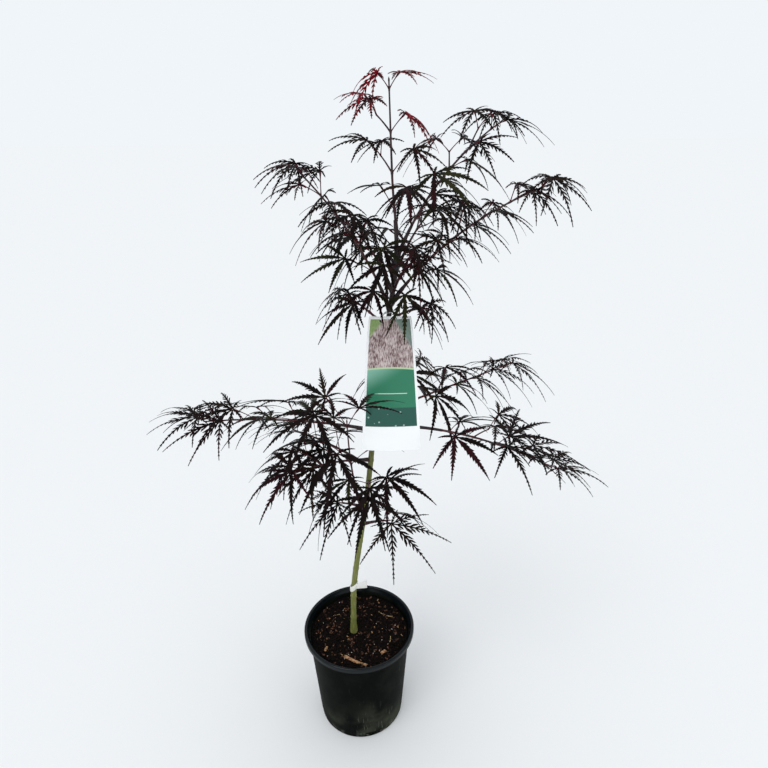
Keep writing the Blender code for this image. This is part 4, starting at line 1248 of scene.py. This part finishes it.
def leaf_finish(name, colour, other, roughness):
    """Thin leaf: a soft satin skin that wanders a little between two close colours, with fine veins."""
    finish = Finish(name, specular_ior_level=0.04)
    drift = finish.speckle(55.0, 3.0)
    veins = finish.speckle(900.0, 3.0)
    mixed = finish.mix(colour, other, finish.step(drift, 0.35, 0.65))
    return finish.dress(mixed, roughness + 0.12 * veins, veins, 0.15 * MM)


LEAF_KINDS = {
    "purple_black": leaf_finish("leaf_purple_black", tint(28, 18, 17), tint(15, 11, 10), 0.46),
    "wine": leaf_finish("leaf_wine", tint(46, 17, 21), tint(25, 12, 14), 0.46),
    "bronze": leaf_finish("leaf_bronze", tint(38, 28, 19), tint(23, 17, 12), 0.44),
    "olive": leaf_finish("leaf_olive", tint(45, 45, 24), tint(27, 28, 17), 0.42),
    "crimson": leaf_finish("leaf_crimson", tint(130, 13, 27), tint(52, 9, 17), 0.5),
}
MIX_OLD = ("purple_black", "olive", "bronze", "purple_black", "purple_black", "olive", "wine")
MIX_YOUNG = ("purple_black", "purple_black", "wine", "purple_black", "bronze", "purple_black")
MIX_LOW = ("wine", "purple_black", "purple_black", "bronze")
MIX_TOP = ("wine", "purple_black", "bronze", "purple_black")
LOW_SHOOTS = ("foot_left", "foot_right", "riser")
MAIN_SHARE = 0.7
LEAST_LOBES = 2
LEAF_EDGE = math.radians(40)


def leaf_kinds(leaf, rng):
    """The colours that a leaf's lobes are dealt from."""
    if leaf.shoot == "leader":
        return ("crimson",) if is_crimson(leaf) else MIX_TOP
    if leaf.shoot == "upper_right" and leaf.age < 0.5 and rng.uniform() < 0.5:
        return MIX_TOP
    if leaf.shoot in LOW_SHOOTS:
        return MIX_LOW
    return MIX_OLD if leaf.age > 0.5 else MIX_YOUNG


leaf_heaps = {kind: Heap() for kind in LEAF_KINDS}
leaf_rng = np.random.default_rng(77)
keep_clear = clear_points()
for leaf in crown:
    kinds = leaf_kinds(leaf, leaf_rng)
    main = kinds[leaf_rng.integers(len(kinds))]
    lobes = []
    for index in range(len(LOBES)):
        kind = main if leaf_rng.uniform() < MAIN_SHARE else kinds[leaf_rng.integers(len(kinds))]
        blade = lobe_blade(leaf, index, leaf_rng)
        if is_clear(lobe_curve(leaf, index, LOBE_TESTS), keep_clear):
            lobes.append((kind, blade))
    outer_stalk = bent(leaf.root, leaf.hub, 0 * UP, STALK_TESTS)[2:]
    if not is_clear(outer_stalk, keep_clear) or len(lobes) < LEAST_LOBES:
        continue
    for kind, blade in lobes:
        leaf_heaps[kind].add(*blade)
    sag = STALK_SAG * np.linalg.norm(leaf.hub - leaf.root) * UP
    line = bent(leaf.root, leaf.hub, sag, len(STALK_RADII) - 1)
    stalk_heap.add(*tube(line, [r * MM for r in STALK_RADII], STALK_SIDES))
stalk_finish = leaf_finish("stalk_red", tint(84, 28, 36), tint(58, 24, 30), 0.42)
stalks = stalk_heap.piece("leaf_stalks", stalk_finish, "bark")
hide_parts(*foliage_nodes)
for kind, heap in leaf_heaps.items():
    piece = heap.piece("leaves_" + kind, LEAF_KINDS[kind], "leaves")
    piece.data.set_sharp_from_angle(angle=LEAF_EDGE)
    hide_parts(*foliage_nodes)

# Floor: a plain pale sweep of paper that the pot stands on.
FLOOR_REACH = 60.0
floor_mesh = bpy.data.meshes.new("floor")
corners = [(x * FLOOR_REACH, y * FLOOR_REACH, 0) for x, y in ((-1, -1), (1, -1), (1, 1), (-1, 1))]
floor_mesh.from_pydata(corners, [], [(0, 1, 2, 3)])
floor = bpy.data.objects.new("floor", floor_mesh)
bpy.context.scene.collection.objects.link(floor)
paper = Finish("paper", specular_ior_level=0.0)
floor_mesh.materials.append(paper.dress(tint(237, 237, 237), 0.9))

# Light: a bright even studio. A broad soft key shines from the upper left in front, and two small lamps give
# thin glints on the lip of the pot and on the stem.
KEY_PLACE = Vector((-0.8, -1.1, 2.3))
KEY_ENERGY = 0.62
KEY_BREADTH = 34
LAMPS = (
    ((-0.9, -1.0, 1.0), 0.16, 0.5),
    ((1.0, -0.9, 0.7), 0.16, 0.4),
)
AIM = Vector((0.03, 0, 0.3))


def add_light(name, kind, place, energy):
    """A light at a place, turned towards the middle of the plant."""
    light = bpy.data.lights.new(name, kind)
    light.energy = energy
    holder = bpy.data.objects.new(name, light)
    holder.location = place
    holder.rotation_euler = (AIM - Vector(place)).to_track_quat("-Z", "Y").to_euler()
    bpy.context.scene.collection.objects.link(holder)
    return light


add_light("key", "SUN", KEY_PLACE, KEY_ENERGY).angle = math.radians(KEY_BREADTH)
for k, (place, size, power) in enumerate(LAMPS):
    add_light(f"lamp_{k}", "AREA", place, power).size = size
world = bpy.data.worlds.new("studio")
bpy.context.scene.world = world
world.use_nodes = True
world.node_tree.nodes["Background"].inputs["Color"].default_value = tint(240, 245, 249)
world.node_tree.nodes["Background"].inputs["Strength"].default_value = 1.0
bpy.context.scene.view_settings.view_transform = "Standard"

# Camera: stands in front of the plant at about the height of its crown, and looks down at it.
CAMERA_PLACE = Vector((0.043, -0.655, 0.846))
CAMERA_PITCH = math.radians(23.58)
CAMERA_ROLL = math.radians(-0.75)
FRAME_PIXELS = 768
FOCAL_PIXELS = 577
FRAME_CENTRE = 384.5
SENSOR = 36

ahead = Vector((0, math.cos(CAMERA_PITCH), -math.sin(CAMERA_PITCH)))
level_right = Vector((1, 0, 0))
level_up = Vector((0, math.sin(CAMERA_PITCH), math.cos(CAMERA_PITCH)))
right = math.cos(CAMERA_ROLL) * level_right + math.sin(CAMERA_ROLL) * level_up
up = math.cos(CAMERA_ROLL) * level_up - math.sin(CAMERA_ROLL) * level_right
camera_data = bpy.data.cameras.new("camera")
camera_data.sensor_width = SENSOR
camera_data.lens = SENSOR * FOCAL_PIXELS / FRAME_PIXELS
camera_data.shift_x = (FRAME_PIXELS / 2 - FRAME_CENTRE) / FRAME_PIXELS
camera_data.clip_start = 0.02
camera = bpy.data.objects.new("camera", camera_data)
camera.matrix_world = Matrix.Translation(CAMERA_PLACE) @ Matrix((right, up, -ahead)).transposed().to_4x4()
bpy.context.scene.collection.objects.link(camera)
bpy.context.scene.camera = camera
